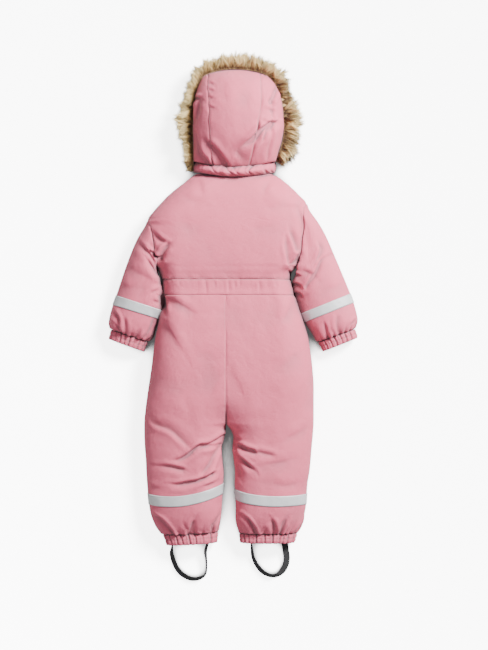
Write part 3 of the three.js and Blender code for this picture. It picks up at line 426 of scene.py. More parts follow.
CREASES = [
    # left sleeve and armhole
    Crease(((-145, 127), (-138, 121), (-130, 117)), 7.0, 2.6, 1.4, (0.7, 0.3)),
    Crease(((-142, 166), (-128, 152), (-113, 144)), 3.6, 3.6, 1.4),
    Crease(((-113, 144), (-121, 135), (-131, 119)), 5.0, 3.4, 2.2, (0.3, 1.0)),
    Crease(((-175, 150), (-158, 132), (-147, 116), (-139, 98)), 4.2, 3.8, 1.6, (0.2, 1.0)),
    Crease(((-162, 120), (-149, 101), (-138, 87)), 3.2, 3.4, 1.2, (0.2, 1.0)),
    Crease(((-152, 45), (-142, 50), (-132, 55)), 2.6, 3.2, 0.8),
    Crease(((-146, 32), (-132, 27)), 2.2, 2.8, 0.7),
    Crease(((-229, 16), (-216, -1), (-212, -26)), 3.8, 3.0, 1.4, (0.4, 1.0)),
    Crease(((-222, -12), (-215, -22), (-208, -32)), 2.8, 2.6, 0.9, (0.3, 1.0)),
    Crease(((-142, 0), (-149, -18), (-159, -40)), 3.0, 2.4, 0.8, (0.5, 1.0)),
    Crease(((-206, 108), (-182, 90), (-152, 76)), 1.3, 8.0, 0.5),
    Crease(((-214, 66), (-196, 58), (-172, 60)), 1.1, 7.0, 0.4),
    Crease(((-204, 2), (-200, -14), (-200, -34)), 2.4, 4.0, 0.8, (0.1, 0.9)),
    Crease(((-168, -22), (-176, -34), (-184, -42)), 2.6, 3.0, -0.8, (0.1, 0.9)),
    # right sleeve and armhole
    Crease(((149, 230), (143, 216), (146, 202), (151, 184), (149, 160), (148, 134)), 1.8, 3.2, 0.6, (0.5, 0.5)),
    Crease(((180, 149), (186, 136), (182, 119), (173, 105)), 4.2, 3.8, -1.6),
    Crease(((207, 125), (191, 114), (178, 96), (164, 76), (157, 60)), 4.0, 2.8, 1.6, (0.3, 0.8)),
    Crease(((122, 174), (131, 153), (138, 132)), 4.2, 3.6, -1.6, (0.2, 1.0)),
    Crease(((115, 158), (117, 132), (122, 106)), 3.4, 3.6, -1.4, (0.3, 0.9)),
    Crease(((141, 122), (136, 111), (128, 102)), 5.4, 3.0, 1.2, (0.8, 0.3)),
    Crease(((128, 90), (137, 84), (147, 82)), 3.0, 2.6, 0.9, (1.0, 0.1)),
    Crease(((132, 66), (141, 64), (152, 57)), 3.2, 2.6, 0.9, (1.0, 0.1)),
    Crease(((137, 46), (146, 44), (152, 36)), 2.6, 2.6, 0.8, (1.0, 0.1)),
    Crease(((146, 92), (160, 89), (178, 78)), 2.0, 4.6, 0.7),
    Crease(((236, 70), (214, 58), (190, 56)), 1.1, 7.0, 0.4),
    Crease(((261, 2), (254, -8), (247, -18)), 2.2, 3.2, 0.8),
    Crease(((222, 6), (218, -12), (220, -30)), 2.4, 4.0, -0.8, (0.1, 0.9)),
    Crease(((194, -8), (198, -24), (202, -40)), 2.8, 3.2, 0.8, (0.1, 0.9)),
    # shoulders and back
    Crease(((-92, 246), (-68, 230), (-44, 224)), 1.0, 8.0, 0.4),
    Crease(((118, 234), (94, 219), (70, 216)), 1.0, 8.0, 0.4),
    Crease(((-58, 274), (-50, 256), (-46, 236)), 1.1, 6.0, 0.4),
    Crease(((86, 272), (78, 256), (74, 238)), 1.1, 6.0, 0.4),
    Crease(((-100, 190), (-70, 180), (-40, 182)), 0.9, 12.0, 0.3),
    Crease(((104, 188), (72, 174), (36, 178)), 0.9, 12.0, 0.3),
    # below the waist
    Crease(((-126, 41), (-121, 20), (-116, -2)), 3.6, 3.4, 1.4, (0.8, 0.1)),
    Crease(((-124, 39), (-94, 26), (-54, 2)), 2.2, 6.5, 0.8, (0.8, 0.1)),
    Crease(((-134, 2), (-114, -26), (-76, -84)), 2.2, 8.0, 0.9),
    Crease(((132, 32), (122, 8), (108, -16)), 1.6, 7.0, 0.5),
    Crease(((150, -60), (126, -88), (96, -104)), 1.1, 11.0, 0.4),
    Crease(((-6, -100), (-26, -134), (-36, -170)), 1.2, 11.0, 0.5),
    Crease(((4, -96), (22, -134), (34, -172)), 1.2, 11.0, 0.5),
    # left leg
    Crease(((-160, -190), (-144, -212), (-114, -224), (-94, -240), (-80, -254)), 2.6, 4.6, -0.9, (0.2, 0.8)),
    Crease(((-8, -234), (-38, -249), (-54, -253), (-74, -268), (-94, -280), (-106, -281)), 6.0, 3.2, 2.4, (0.6, 0.1)),
    Crease(((-16, -251), (-44, -255), (-60, -265)), 3.4, 2.6, 1.2, (0.5, 0.3)),
    Crease(((-8, -252), (-24, -274), (-32, -292), (-46, -310), (-49, -316)), 4.0, 4.2, -2.2, (0.8, 0.2)),
    Crease(((-148, -292), (-114, -294), (-88, -300), (-79, -303)), 3.4, 3.4, 1.4),
    Crease(((-116, -328), (-94, -330), (-64, -324), (-44, -316), (-30, -308)), 4.8, 3.0, 2.2, (0.1, 1.0)),
    Crease(((-50, -335), (-36, -330), (-22, -323)), 2.8, 3.6, 1.1),
    Crease(((-158, -334), (-142, -340), (-124, -338)), 1.3, 5.0, 0.4),
    Crease(((-148, -394), (-128, -404), (-110, -426), (-106, -438)), 5.0, 3.2, 1.8, (0.4, 1.0)),
    Crease(((-64, -398), (-71, -414), (-75, -438)), 4.2, 4.4, -1.2, (0.3, 1.0)),
    Crease(((-10, -388), (-26, -414), (-30, -428)), 4.2, 2.6, -1.4, (0.3, 1.0)),
    # right leg
    Crease(((15, -238), (21, -242), (28, -247)), 3.4, 4.6, 0.8, (0.4, 0.2)),
    Crease(((16, -250), (28, -255), (52, -264)), 7.4, 3.3, 2.8, (0.4, 0.5)),
    Crease(((48, -263), (80, -270), (103, -275)), 2.8, 4.6, 1.1, (0.8, 0.1)),
    Crease(((16, -256), (19, -263), (25, -272)), 3.8, 2.8, 0.9, (0.5, 0.3)),
    Crease(((19, -272), (36, -286), (60, -306)), 4.8, 3.1, 2.0, (0.6, 0.2)),
    Crease(((68, -292), (100, -287), (128, -280)), 1.9, 7.0, 0.7),
    Crease(((15, -283), (20, -306), (27, -324)), 3.2, 4.0, -1.1),
    Crease(((166, -206), (140, -230), (104, -243)), 1.7, 9.0, 0.6),
    Crease(((150, -326), (120, -334), (84, -328)), 1.2, 7.0, 0.4),
    Crease(((30, -392), (46, -404), (58, -426), (62, -440)), 4.8, 3.0, 1.8, (0.4, 1.0)),
    Crease(((88, -398), (94, -410), (99, -428)), 3.8, 3.8, 1.0, (0.2, 1.0)),
    Crease(((122, -400), (114, -416), (108, -430)), 4.6, 3.0, 1.4, (0.2, 1.0)),
    Crease(((156, -406), (144, -422), (128, -433)), 3.6, 3.4, 1.3, (0.1, 1.0)),
]
WAIST_CREASES = [
    Crease(((-40, 76), (-41, 60), (-39, 45)), 0.9, 2.6, 0.3),
    Crease(((-23, 74), (-23, 58)), 0.8, 2.4, 0.2),
    Crease(((2, 75), (3, 60), (2, 46)), 0.9, 2.6, -0.3),
    Crease(((18, 74), (18, 54)), 0.9, 2.4, 0.3),
    Crease(((28, 75), (28, 60)), 0.7, 2.2, 0.2),
    Crease(((62, 75), (63, 60), (62, 46)), 0.9, 2.6, -0.3),
    Crease(((-92, 74), (-92, 60)), 0.8, 2.6, 0.3),
    Crease(((98, 74), (98, 58)), 0.8, 2.6, 0.3),
]
HOOD_CREASES = [
    Crease(((-66, 435), (-57, 433), (-48, 429)), 4.0, 3.0, 1.4),
    Crease(((-50, 430), (-57, 418), (-61, 400), (-64, 384)), 4.4, 3.2, -1.8),
    Crease(((-60, 362), (-56, 338), (-48, 320), (-38, 308), (-26, 292)), 5.4, 3.8, 2.0, (0.2, 1.0)),
    Crease(((-50, 352), (-36, 342), (-20, 326), (-8, 311), (6, 290)), 4.6, 4.6, 2.0, (0.1, 1.0)),
    Crease(((89, 381), (74, 371), (60, 361), (42, 345), (24, 329)), 9.0, 4.2, 5.5, (0.8, 0.1)),
    Crease(((81, 366), (74, 354), (65, 339)), 6.0, 3.2, 3.0, (0.5, 0.2)),
    Crease(((101, 458), (98, 448), (92, 434), (87, 424)), 4.6, 3.2, 1.6, (0.4, 1.0)),
    Crease(((88, 426), (90, 404), (91, 382), (89, 350), (84, 316)), 3.4, 2.8, 1.0, (0.9, 0.6)),
    Crease(((80, 425), (93, 420)), 2.2, 2.4, 0.7),
    Crease(((80, 409), (94, 405)), 2.2, 2.4, 0.7),
    Crease(((66, 386), (76, 382), (88, 380)), 2.4, 2.6, 0.8),
    Crease(((-34, 462), (-26, 458)), 1.6, 2.4, 0.5),
    Crease(((-35, 447), (-24, 443)), 1.6, 2.4, 0.5),
    Crease(((-35, 431), (-26, 428)), 1.6, 2.4, 0.5),
    Crease(((-35, 412), (-25, 410)), 1.5, 2.4, 0.5),
    Crease(((10, 332), (24, 314), (42, 304)), 2.2, 6.0, -0.8),
    Crease(((0, 472), (-6, 442), (-2, 410)), 1.0, 12.0, 0.4),
    Crease(((48, 454), (40, 422), (44, 398)), 1.0, 12.0, 0.4),
]
LEFT_HEM_PLEATS = Gathers((
    (0.08, 3.0, 17.0), (0.16, 2.4, 12.0), (0.27, 2.8, 18.0), (0.35, 2.2, 10.0), (0.47, 3.2, 26.0),
    (0.575, 2.4, 13.0), (0.69, 1.8, 9.0), (0.83, 3.2, 24.0), (0.93, 2.2, 12.0),
))
RIGHT_HEM_PLEATS = Gathers((
    (0.945, 2.4, 12.0), (0.875, 2.4, 14.0), (0.80, 2.0, 10.0), (0.68, 3.0, 24.0), (0.553, 2.4, 14.0),
    (0.43, 3.2, 22.0), (0.325, 2.2, 11.0), (0.265, 2.4, 16.0), (0.19, 3.0, 20.0), (0.09, 2.6, 16.0),
))
LEFT_CUFF_PLEATS = Gathers((
    (0.12, 2.2, 12.0), (0.23, 1.8, 8.0), (0.34, 2.6, 16.0), (0.44, 2.0, 9.0), (0.54, 2.6, 14.0),
    (0.64, 1.6, 8.0), (0.75, 2.6, 16.0), (0.88, 2.4, 13.0),
))
RIGHT_CUFF_PLEATS = Gathers((
    (0.93, 2.0, 10.0), (0.80, 2.4, 14.0), (0.68, 2.2, 10.0), (0.575, 2.6, 16.0), (0.45, 2.2, 9.0),
    (0.34, 2.6, 14.0), (0.22, 2.4, 12.0), (0.10, 2.0, 10.0),
))


@dataclass(frozen=True)
class Relief:
    """What the cloth's own folds and padding add to a plain sheet."""

    creases: tuple[Crease, ...] = ()
    lumps: float = 0.9
    floor: float = SIDE_SEAM_HEIGHT
    broad: Noise = field(default_factory=lambda: Noise(3))
    fine: Noise = field(default_factory=lambda: Noise(8))

    def height(self, points: Array) -> Array:
        """Returns the height to add at each point, fading out towards the side seams."""
        x, y = points[..., 0], points[..., 1]
        bent = 5.0 * self.fine.at(x / 27.0, y / 27.0)
        total = self.lumps * self.broad.at(x / 44.0 + 40.0, y / 44.0 + 40.0)
        total = total + 0.45 * self.lumps * self.fine.at((x + bent) / 19.0 + 20.0, (y - bent) / 25.0 + 20.0)
        total = total + 0.14 * self.lumps * self.broad.at((x + 0.6 * y) / 7.5, (y - 0.4 * x) / 11.0)
        for crease in self.creases:
            total = total + crease.height(x + 0.4 * bent, y - 0.3 * bent)
        return total * smooth((points[..., 2] - self.floor - 2.0) / 14.0)


@dataclass(frozen=True)
class Seam:
    """A sewn edge: the cloth dips into it and puckers along it.

    Where grows is given, the seam has only a share of its strength up to a first place along it, and all of it
    from a second place on: the share, the first place and the second.
    """

    edge: Edge
    dip: float = 1.3
    dip_width: float = 2.6
    pucker: float = 0.5
    reach: float = 9.0
    spacing: float = 8.0
    seed: int = 21
    grows: tuple[float, float, float] = (1.0, 0.0, 1.0)

    def drawn(self, away: Array, along: Array) -> tuple[Array, Array]:
        """Returns the height that the seam adds, and the share of other heights that it leaves."""
        noise = Noise(self.seed)
        share, start, end = self.grows
        strength = mix(share, 1.0, smooth((along - start) / (end - start)))
        short = noise.at(along / (0.45 * self.spacing), 9.5 + 0 * away)
        ripple = noise.at(along / self.spacing, away / 40.0) + 0.6 * short
        added = self.pucker * ripple * np.exp(-away / self.reach) * smooth(away / 2.0)
        added = added - self.dip * np.exp(-((away / self.dip_width) ** 2))
        return added * strength, smooth(away / 5.0 + 0.25)


@dataclass
class Grid:
    """The outer sheet of a cloth piece, rows down the piece and columns across it."""

    points: Array
    inner: Array
    ring: bool = False
    # How deep each point lies in a fold, from 0 to 1: the mask for painted shade in the cloth's colour.
    dip: Array | None = None

    def __post_init__(self) -> None:
        """Measures the sheet along its rows and columns."""
        across = np.linalg.norm(np.diff(self.points, axis=1), axis=2)
        down = np.linalg.norm(np.diff(self.points, axis=0), axis=2)
        rows, columns = self.points.shape[:2]
        self.u = np.concatenate([np.zeros((rows, 1)), np.cumsum(across, axis=1)], axis=1)
        self.v = np.concatenate([np.zeros((1, columns)), np.cumsum(down, axis=0)], axis=0)
        self.dip = np.zeros((rows, columns)) if self.dip is None else self.dip

    def normals(self) -> Array:
        """Returns the sheet's outward unit normals, away from the inner sheet."""
        p = self.points
        if self.ring:
            around = np.roll(p, -1, axis=1) - np.roll(p, 1, axis=1)
        else:
            around = np.gradient(p, axis=1)
        normal = np.cross(around, np.gradient(p, axis=0))
        long = np.linalg.norm(normal, axis=2, keepdims=True)
        normal = normal / np.maximum(long, 1e-9)
        out = self.points - self.inner
        flip = np.sign((normal * out).sum(axis=2, keepdims=True))
        flip = np.where(flip == 0, 1.0, flip)
        majority = 1.0 if flip.mean() > 0 else -1.0
        return normal * majority

    def inset(self, edge: Edge) -> tuple[Array, Array]:
        """Returns each point's distance from an edge and its place along that edge."""
        if edge is Edge.LEFT:
            return self.u, self.v
        if edge is Edge.RIGHT:
            return self.u[:, -1:] - self.u, self.v
        if edge is Edge.TOP:
            return self.v, self.u
        return self.v[-1:] - self.v, self.u

    def raised(self, height: Array, seams: tuple[Seam, ...] = (), hold_inner: bool = True) -> "Grid":
        """Returns the sheet moved out by a height, with its seams drawn in.

        Args:
            height: The height to add at each point.
            seams: The sewn edges.
            hold_inner: Keep the inner sheet where it is.

        Returns:
            The moved sheet.
        """
        total = height.copy()
        for seam in seams:
            added, left = seam.drawn(*self.inset(seam.edge))
            total = total * left + added
        moved = self.points + self.normals() * total[..., None]
        inner = self.inner if hold_inner else self.inner + (moved - self.points)
        # The moved sheet keeps how far it sank as its mask for painted fold shade.
        return Grid(moved, inner, self.ring, np.clip(-total / 5.0, 0.0, 1.0))

    def line(self, edge: Edge, inset: float, lift: float = 0.25) -> Array:
        """Returns points along an edge, a little inside it and on the sheet."""
        away, _ = self.inset(edge)
        raised = self.points + self.normals() * lift
        if edge in (Edge.LEFT, Edge.RIGHT):
            order = slice(None) if edge is Edge.LEFT else slice(None, None, -1)
            near = [
                np.array([np.interp(inset, away[k, order], raised[k, order, axis]) for axis in range(3)])
                for k in range(len(raised))
            ]
        else:
            order = slice(None) if edge is Edge.TOP else slice(None, None, -1)
            near = [
                np.array([np.interp(inset, away[order, k], raised[order, k, axis]) for axis in range(3)])
                for k in range(raised.shape[1])
            ]
        line = np.array(near)
        return np.concatenate([line, line[:1]]) if self.ring and edge in (Edge.TOP, Edge.FOOT) else line


def mesh_object(name: str, points: Array, faces: Array, finish: bpy.types.Material) -> bpy.types.Object:
    """Makes a smooth mesh object.

    Args:
        name: The object's name.
        points: Its points in millimetres, from the back seam.
        faces: Its faces, three or four corners each.
        finish: Its material.

    Returns:
        The new object, linked to the scene.
    """
    mesh = bpy.data.meshes.new(name)
    placed = (np.asarray(points, dtype=float) + np.array(MIDDLE)) * MM
    size = faces.shape[1]
    mesh.vertices.add(len(placed))
    mesh.vertices.foreach_set("co", placed.ravel())
    mesh.loops.add(faces.size)
    mesh.loops.foreach_set("vertex_index", faces.ravel().astype(np.int32))
    mesh.polygons.add(len(faces))
    mesh.polygons.foreach_set("loop_start", np.arange(0, faces.size, size, dtype=np.int32))
    mesh.update(calc_edges=True)
    mesh.materials.append(finish)
    mesh.shade_smooth()
    piece = bpy.data.objects.new(name, mesh)
    bpy.context.scene.collection.objects.link(piece)
    return piece


def cloth_object(name: str, grid: Grid, finish: bpy.types.Material) -> bpy.types.Object:
    """Closes a cloth grid into a wall with its own UV map and a fold mask for painted shade.

    Args:
        name: The object's name.
        grid: The outer and inner sheets.
        finish: Its material.

    Returns:
        The new object.
    """
    rows, columns = grid.points.shape[:2]
    count = rows * columns
    quads = columns if grid.ring else columns - 1
    j, i = (k.ravel() for k in np.meshgrid(np.arange(rows - 1), np.arange(quads), indexing="ij"))
    corners_j = np.stack([j, j, j + 1, j + 1], axis=1)
    corners_i = np.stack([i, i + 1, i + 1, i], axis=1)
    outer = corners_j * columns + corners_i % columns
    inner = outer[:, ::-1] + count
    rim = np.arange(quads)
    first = np.stack([rim, rim, rim + 1, rim + 1], axis=1)
    level = np.array([0, count, count, 0])
    head = first % columns + level
    foot = (first % columns + (rows - 1) * columns + level)[:, ::-1]
    faces = [outer, inner, head, foot]
    spans_j = [corners_j, corners_j[:, ::-1], np.zeros_like(first), np.full_like(first, rows - 1)]
    spans_i = [corners_i, corners_i[:, ::-1], first, first[:, ::-1]]
    if not grid.ring:
        side = np.arange(rows - 1)
        step = np.stack([side, side + 1, side + 1, side], axis=1)
        lift = np.array([0, 0, count, count])
        faces += [step * columns + lift, (step * columns + columns - 1 + lift)[:, ::-1]]
        spans_j += [step, step[:, ::-1]]
        spans_i += [np.zeros_like(step), np.full_like(step, columns - 1)]
    faces, spans_j, spans_i = (np.concatenate(k) for k in (faces, spans_j, spans_i))
    points = np.concatenate([grid.points.reshape(-1, 3), grid.inner.reshape(-1, 3)])
    a, b, c = (points[faces[:, k]] for k in (0, 1, 2))
    d = points[faces[:, 3]]
    volume = (np.cross(a, b) * c).sum() + (np.cross(a, c) * d).sum()
    if volume < 0:
        faces, spans_j, spans_i = (k[:, ::-1] for k in (faces, spans_j, spans_i))
    piece = mesh_object(name, points, np.ascontiguousarray(faces), finish)
    u, v = grid.u, grid.v
    if grid.ring:
        close = np.linalg.norm(grid.points[:, :1] - grid.points[:, -1:], axis=2)
        u = np.concatenate([u, u[:, -1:] + close], axis=1)
        v = np.concatenate([v, v[:, :1]], axis=1)
    uv = np.stack([u[spans_j, spans_i], v[spans_j, spans_i]], axis=2) * MM
    layer = piece.data.uv_layers.new(name="cloth")
    layer.data.foreach_set("uv", uv.reshape(-1))
    # The fold attribute is the mask for painted shade: the outer sheet's fold depth, and half strength on the inner
    # sheet and rims.
    fold = piece.data.attributes.new("fold", "FLOAT", "POINT")
    fold.data.foreach_set("value", np.concatenate([grid.dip.ravel(), np.full(count, 0.5)]))
    sharp = np.zeros(len(faces), dtype=bool)
    sharp[2 * len(outer):] = True
    marks = piece.data.attributes.get("sharp_face") or piece.data.attributes.new("sharp_face", "BOOLEAN", "FACE")
    marks.data.foreach_set("value", sharp)
    return piece


# Materials


class Shader:
    """A material's node tree, with short ways to add and join its nodes."""

    def __init__(self, name: str) -> None:
        """Makes a material with an empty tree and one Principled shader."""
        self.material = bpy.data.materials.new(name)
        self.material.use_nodes = True
        self.tree = self.material.node_tree
        self.tree.nodes.clear()
        self.skin = self.tree.nodes.new("ShaderNodeBsdfPrincipled")
        output = self.tree.nodes.new("ShaderNodeOutputMaterial")
        self.link(self.skin.outputs["BSDF"], output.inputs["Surface"])

    def node(self, kind: str, **settings: object) -> bpy.types.Node:
        """Adds a node and sets its properties."""
        made = self.tree.nodes.new(kind)
        for key, value in settings.items():
            setattr(made, key, value)
        return made

    def link(self, start: bpy.types.NodeSocket, end: bpy.types.NodeSocket) -> None:
        """Joins two sockets."""
        self.tree.links.new(start, end)

    def set(self, **values: object) -> None:
        """Sets the Principled shader's plain values, with underscores for the spaces in their names."""
        for key, value in values.items():
            self.skin.inputs[key.replace("_", " ")].default_value = value

    def coordinates(self, uv: bool = True) -> bpy.types.NodeSocket:
        """Returns the piece's UV map, or its object coordinates."""
        place = self.node("ShaderNodeTexCoord")
        return place.outputs["UV" if uv else "Object"]

    def group(self, tree: bpy.types.NodeTree, **values: float) -> bpy.types.Node:
        """Places a shared node group with its own values."""
        made = self.node("ShaderNodeGroup", node_tree=tree)
        for key, value in values.items():
            made.inputs[key.replace("_", " ")].default_value = value
        return made

    def bump(self, height: bpy.types.NodeSocket, distance: float, strength: float = 1.0) -> bpy.types.Node:
        """Feeds a height into the shader's normal."""
        bump = self.node("ShaderNodeBump")
        bump.inputs["Distance"].default_value = distance
        bump.inputs["Strength"].default_value = strength
        self.link(height, bump.inputs["Height"])
        self.link(bump.outputs["Normal"], self.skin.inputs["Normal"])
        return bump


class Group:
    """A shader node group under construction."""

    def __init__(self, name: str, inputs: dict[str, tuple[str, object]], outputs: dict[str, str]) -> None:
        """Makes the group with its named sockets.

        Args:
            name: The group's name.
            inputs: Socket types and default values by name.
            outputs: Socket types by name.
        """
        self.tree = bpy.data.node_groups.new(name, "ShaderNodeTree")
        for key, (kind, value) in inputs.items():
            socket = self.tree.interface.new_socket(key, in_out="INPUT", socket_type=kind)
            if value is not None:
                socket.default_value = value
        for key, kind in outputs.items():
            self.tree.interface.new_socket(key, in_out="OUTPUT", socket_type=kind)
        self.given = self.tree.nodes.new("NodeGroupInput").outputs
        self.result = self.tree.nodes.new("NodeGroupOutput").inputs

    def math(self, operation: str, *values: object) -> bpy.types.NodeSocket:
        """Adds a Math node over sockets or numbers."""
        node = self.tree.nodes.new("ShaderNodeMath")
        node.operation = operation
        for k, value in enumerate(values):
            if isinstance(value, bpy.types.NodeSocket):
                self.tree.links.new(value, node.inputs[k])
            else:
                node.inputs[k].default_value = value
        return node.outputs[0]

    def noise(self, vector: bpy.types.NodeSocket, scale: float, detail: float) -> bpy.types.NodeSocket:
        """Adds a Noise Texture and returns its value."""
        node = self.tree.nodes.new("ShaderNodeTexNoise")
        node.inputs["Scale"].default_value = scale
        node.inputs["Detail"].default_value = detail
        self.tree.links.new(vector, node.inputs["Vector"])
        return node.outputs["Fac"]


def weave_group() -> bpy.types.NodeTree:
    """Builds the plain weave that cloth, tape and elastic share.

    Returns:
        A group that puts out the thread height and an uneven shade, both from 0 to 1.
    """
    inputs = {
        "Vector": ("NodeSocketVector", None),
        "Across": ("NodeSocketFloat", 1800.0),
        "Along": ("NodeSocketFloat", 1800.0),
    }
    group = Group("plain_weave", inputs, {"Height": "NodeSocketFloat", "Shade": "NodeSocketFloat"})
    parts = group.tree.nodes.new("ShaderNodeSeparateXYZ")
    group.tree.links.new(group.given["Vector"], parts.inputs[0])
    turns = 2 * math.pi
    across = group.math("MULTIPLY", parts.outputs[0], group.given["Across"])
    along = group.math("MULTIPLY", parts.outputs[1], group.given["Along"])
    warp = group.math("SINE", group.math("MULTIPLY", across, turns))
    weft = group.math("SINE", group.math("MULTIPLY", along, turns))
    thread = group.math("MULTIPLY_ADD", group.math("MULTIPLY", warp, weft), 0.5, 0.5)
    group.tree.links.new(thread, group.result["Height"])
    group.tree.links.new(group.noise(group.given["Vector"], 90.0, 4.0), group.result["Shade"])
    return group.tree


def crumple_group() -> bpy.types.NodeTree:
    """Builds the small crinkles of padded cloth.

    Returns:
        A group that puts out their height from 0 to 1.
    """
    group = Group("crumple", {"Vector": ("NodeSocketVector", None)}, {"Height": "NodeSocketFloat"})
    vector = group.given["Vector"]
    broad = group.noise(vector, 75.0, 2.0)
    small = group.noise(vector, 240.0, 3.0)
    total = group.math("MULTIPLY_ADD", broad, 0.7, group.math("MULTIPLY", small, 0.3))
    group.tree.links.new(total, group.result["Height"])
    return group.tree


@dataclass(frozen=True)
class ShellFabric:
    """The suit's outer cloth: a tight dusty pink weave with a soft sheen, with painted shade darkening its folds and
    hollows.
    """

    # The cloth's own colour, and a darker copy of it that is blended in as painted shade.
    light: tuple[float, float, float, float] = (0.61, 0.104, 0.17, 1.0)
    painted_shade_colour: tuple[float, float, float, float] = (0.25, 0.122, 0.145, 1.0)
    thread: float = 1700.0
    # How far the painted shade looks for nearby cloth, and the occlusion over which it fades in.
    shade_reach: float = 0.03
    shade_span: tuple[float, float] = (0.25, 0.85)

    def make(self, weave: bpy.types.NodeTree, crumple: bpy.types.NodeTree) -> bpy.types.Material:
        """Returns the finished material."""
        shader = Shader("pink_shell_cloth")
        place = shader.coordinates()
        cloth = shader.group(weave, Across=self.thread, Along=self.thread)
        soft = shader.group(crumple)
        shader.link(place, cloth.inputs["Vector"])
        shader.link(place, soft.inputs["Vector"])
        # Painted shade from the fold attribute, where the sheet sinks into folds and seams, plus a light mottle from
        # the weave's uneven tone.
        fold = shader.node("ShaderNodeAttribute", attribute_name="fold")
        depth = shader.node("ShaderNodeMath", operation="MULTIPLY_ADD")
        depth.inputs[1].default_value = 0.6
        shader.link(fold.outputs["Fac"], depth.inputs[0])
        uneven = shader.node("ShaderNodeMath", operation="MULTIPLY")
        uneven.inputs[1].default_value = 0.14
        shader.link(cloth.outputs["Shade"], uneven.inputs[0])
        shader.link(uneven.outputs[0], depth.inputs[2])
        # Painted shade from ambient occlusion: darker in crevices, between parts and under overlaps.
        near = shader.node("ShaderNodeAmbientOcclusion", samples=6)
        near.inputs["Distance"].default_value = self.shade_reach
        hollow = shader.node("ShaderNodeMapRange", interpolation_type="SMOOTHSTEP")
        hollow.inputs["From Min"].default_value, hollow.inputs["From Max"].default_value = self.shade_span
        hollow.inputs["To Min"].default_value, hollow.inputs["To Max"].default_value = 1.0, 0.0
        shader.link(near.outputs["AO"], hollow.inputs["Value"])
        # The share of painted shade and mottle that draws the colour towards its darker copy.
        painted_shade_and_mottle = shader.node("ShaderNodeMath", operation="ADD", use_clamp=True)
        shader.link(depth.outputs[0], painted_shade_and_mottle.inputs[0])
        shader.link(hollow.outputs[0], painted_shade_and_mottle.inputs[1])
        blend = shader.node("ShaderNodeMix", data_type="RGBA")
        blend.inputs[6].default_value = self.light
        blend.inputs[7].default_value = self.painted_shade_colour
        shader.link(painted_shade_and_mottle.outputs[0], blend.inputs["Factor"])
        shader.link(blend.outputs[2], shader.skin.inputs["Base Color"])
        height = shader.node("ShaderNodeMath", operation="MULTIPLY_ADD")
        height.inputs[1].default_value = 0.12
        shader.link(cloth.outputs["Height"], height.inputs[0])
        shader.link(soft.outputs["Height"], height.inputs[2])
        shader.bump(height.outputs[0], 0.0011)
        shader.set(Roughness=0.72, Sheen_Weight=0.1, Sheen_Roughness=0.5, Specular_IOR_Level=0.3)
        return shader.material


@dataclass(frozen=True)
class ReflectiveTape:
    """Silver grey tape with a fine cloth back, slightly crinkled."""

    light: tuple[float, float, float, float] = (0.55, 0.555, 0.565, 1.0)
    dull: tuple[float, float, float, float] = (0.45, 0.455, 0.465, 1.0)
    thread: float = 900.0

    def make(self, weave: bpy.types.NodeTree, crumple: bpy.types.NodeTree) -> bpy.types.Material:
        """Returns the finished material."""
        shader = Shader("reflective_silver_tape")
        place = shader.coordinates()
        cloth = shader.group(weave, Across=self.thread, Along=self.thread)
        soft = shader.group(crumple)
        shader.link(place, cloth.inputs["Vector"])
        shader.link(place, soft.inputs["Vector"])
        blend = shader.node("ShaderNodeMix", data_type="RGBA")
        blend.inputs[6].default_value = self.light
        blend.inputs[7].default_value = self.dull
        shader.link(cloth.outputs["Shade"], blend.inputs["Factor"])
        shader.link(blend.outputs[2], shader.skin.inputs["Base Color"])
        height = shader.node("ShaderNodeMath", operation="MULTIPLY_ADD")
        height.inputs[1].default_value = 0.15
        shader.link(cloth.outputs["Height"], height.inputs[0])
        shader.link(soft.outputs["Height"], height.inputs[2])
        shader.bump(height.outputs[0], 0.0006)
        shader.set(Roughness=0.5, Metallic=0.15)
        return shader.material


@dataclass(frozen=True)
class BlackElastic:
    """Black elastic: fine threads across raised ribs."""

    dark: tuple[float, float, float, float] = (0.012, 0.012, 0.013, 1.0)
    worn: tuple[float, float, float, float] = (0.03, 0.03, 0.032, 1.0)

    def make(self, weave: bpy.types.NodeTree) -> bpy.types.Material:
        """Returns the finished material."""
        shader = Shader("black_ribbed_elastic")
        cloth = shader.group(weave, Across=700.0, Along=1100.0)
        shader.link(shader.coordinates(), cloth.inputs["Vector"])
        blend = shader.node("ShaderNodeMix", data_type="RGBA")
        blend.inputs[6].default_value = self.dark
        blend.inputs[7].default_value = self.worn
        shader.link(cloth.outputs["Height"], blend.inputs["Factor"])
        shader.link(blend.outputs[2], shader.skin.inputs["Base Color"])
        shader.bump(cloth.outputs["Height"], 0.0004)
        shader.set(Roughness=0.75, Sheen_Weight=0.04, Specular_IOR_Level=0.25)
        return shader.material


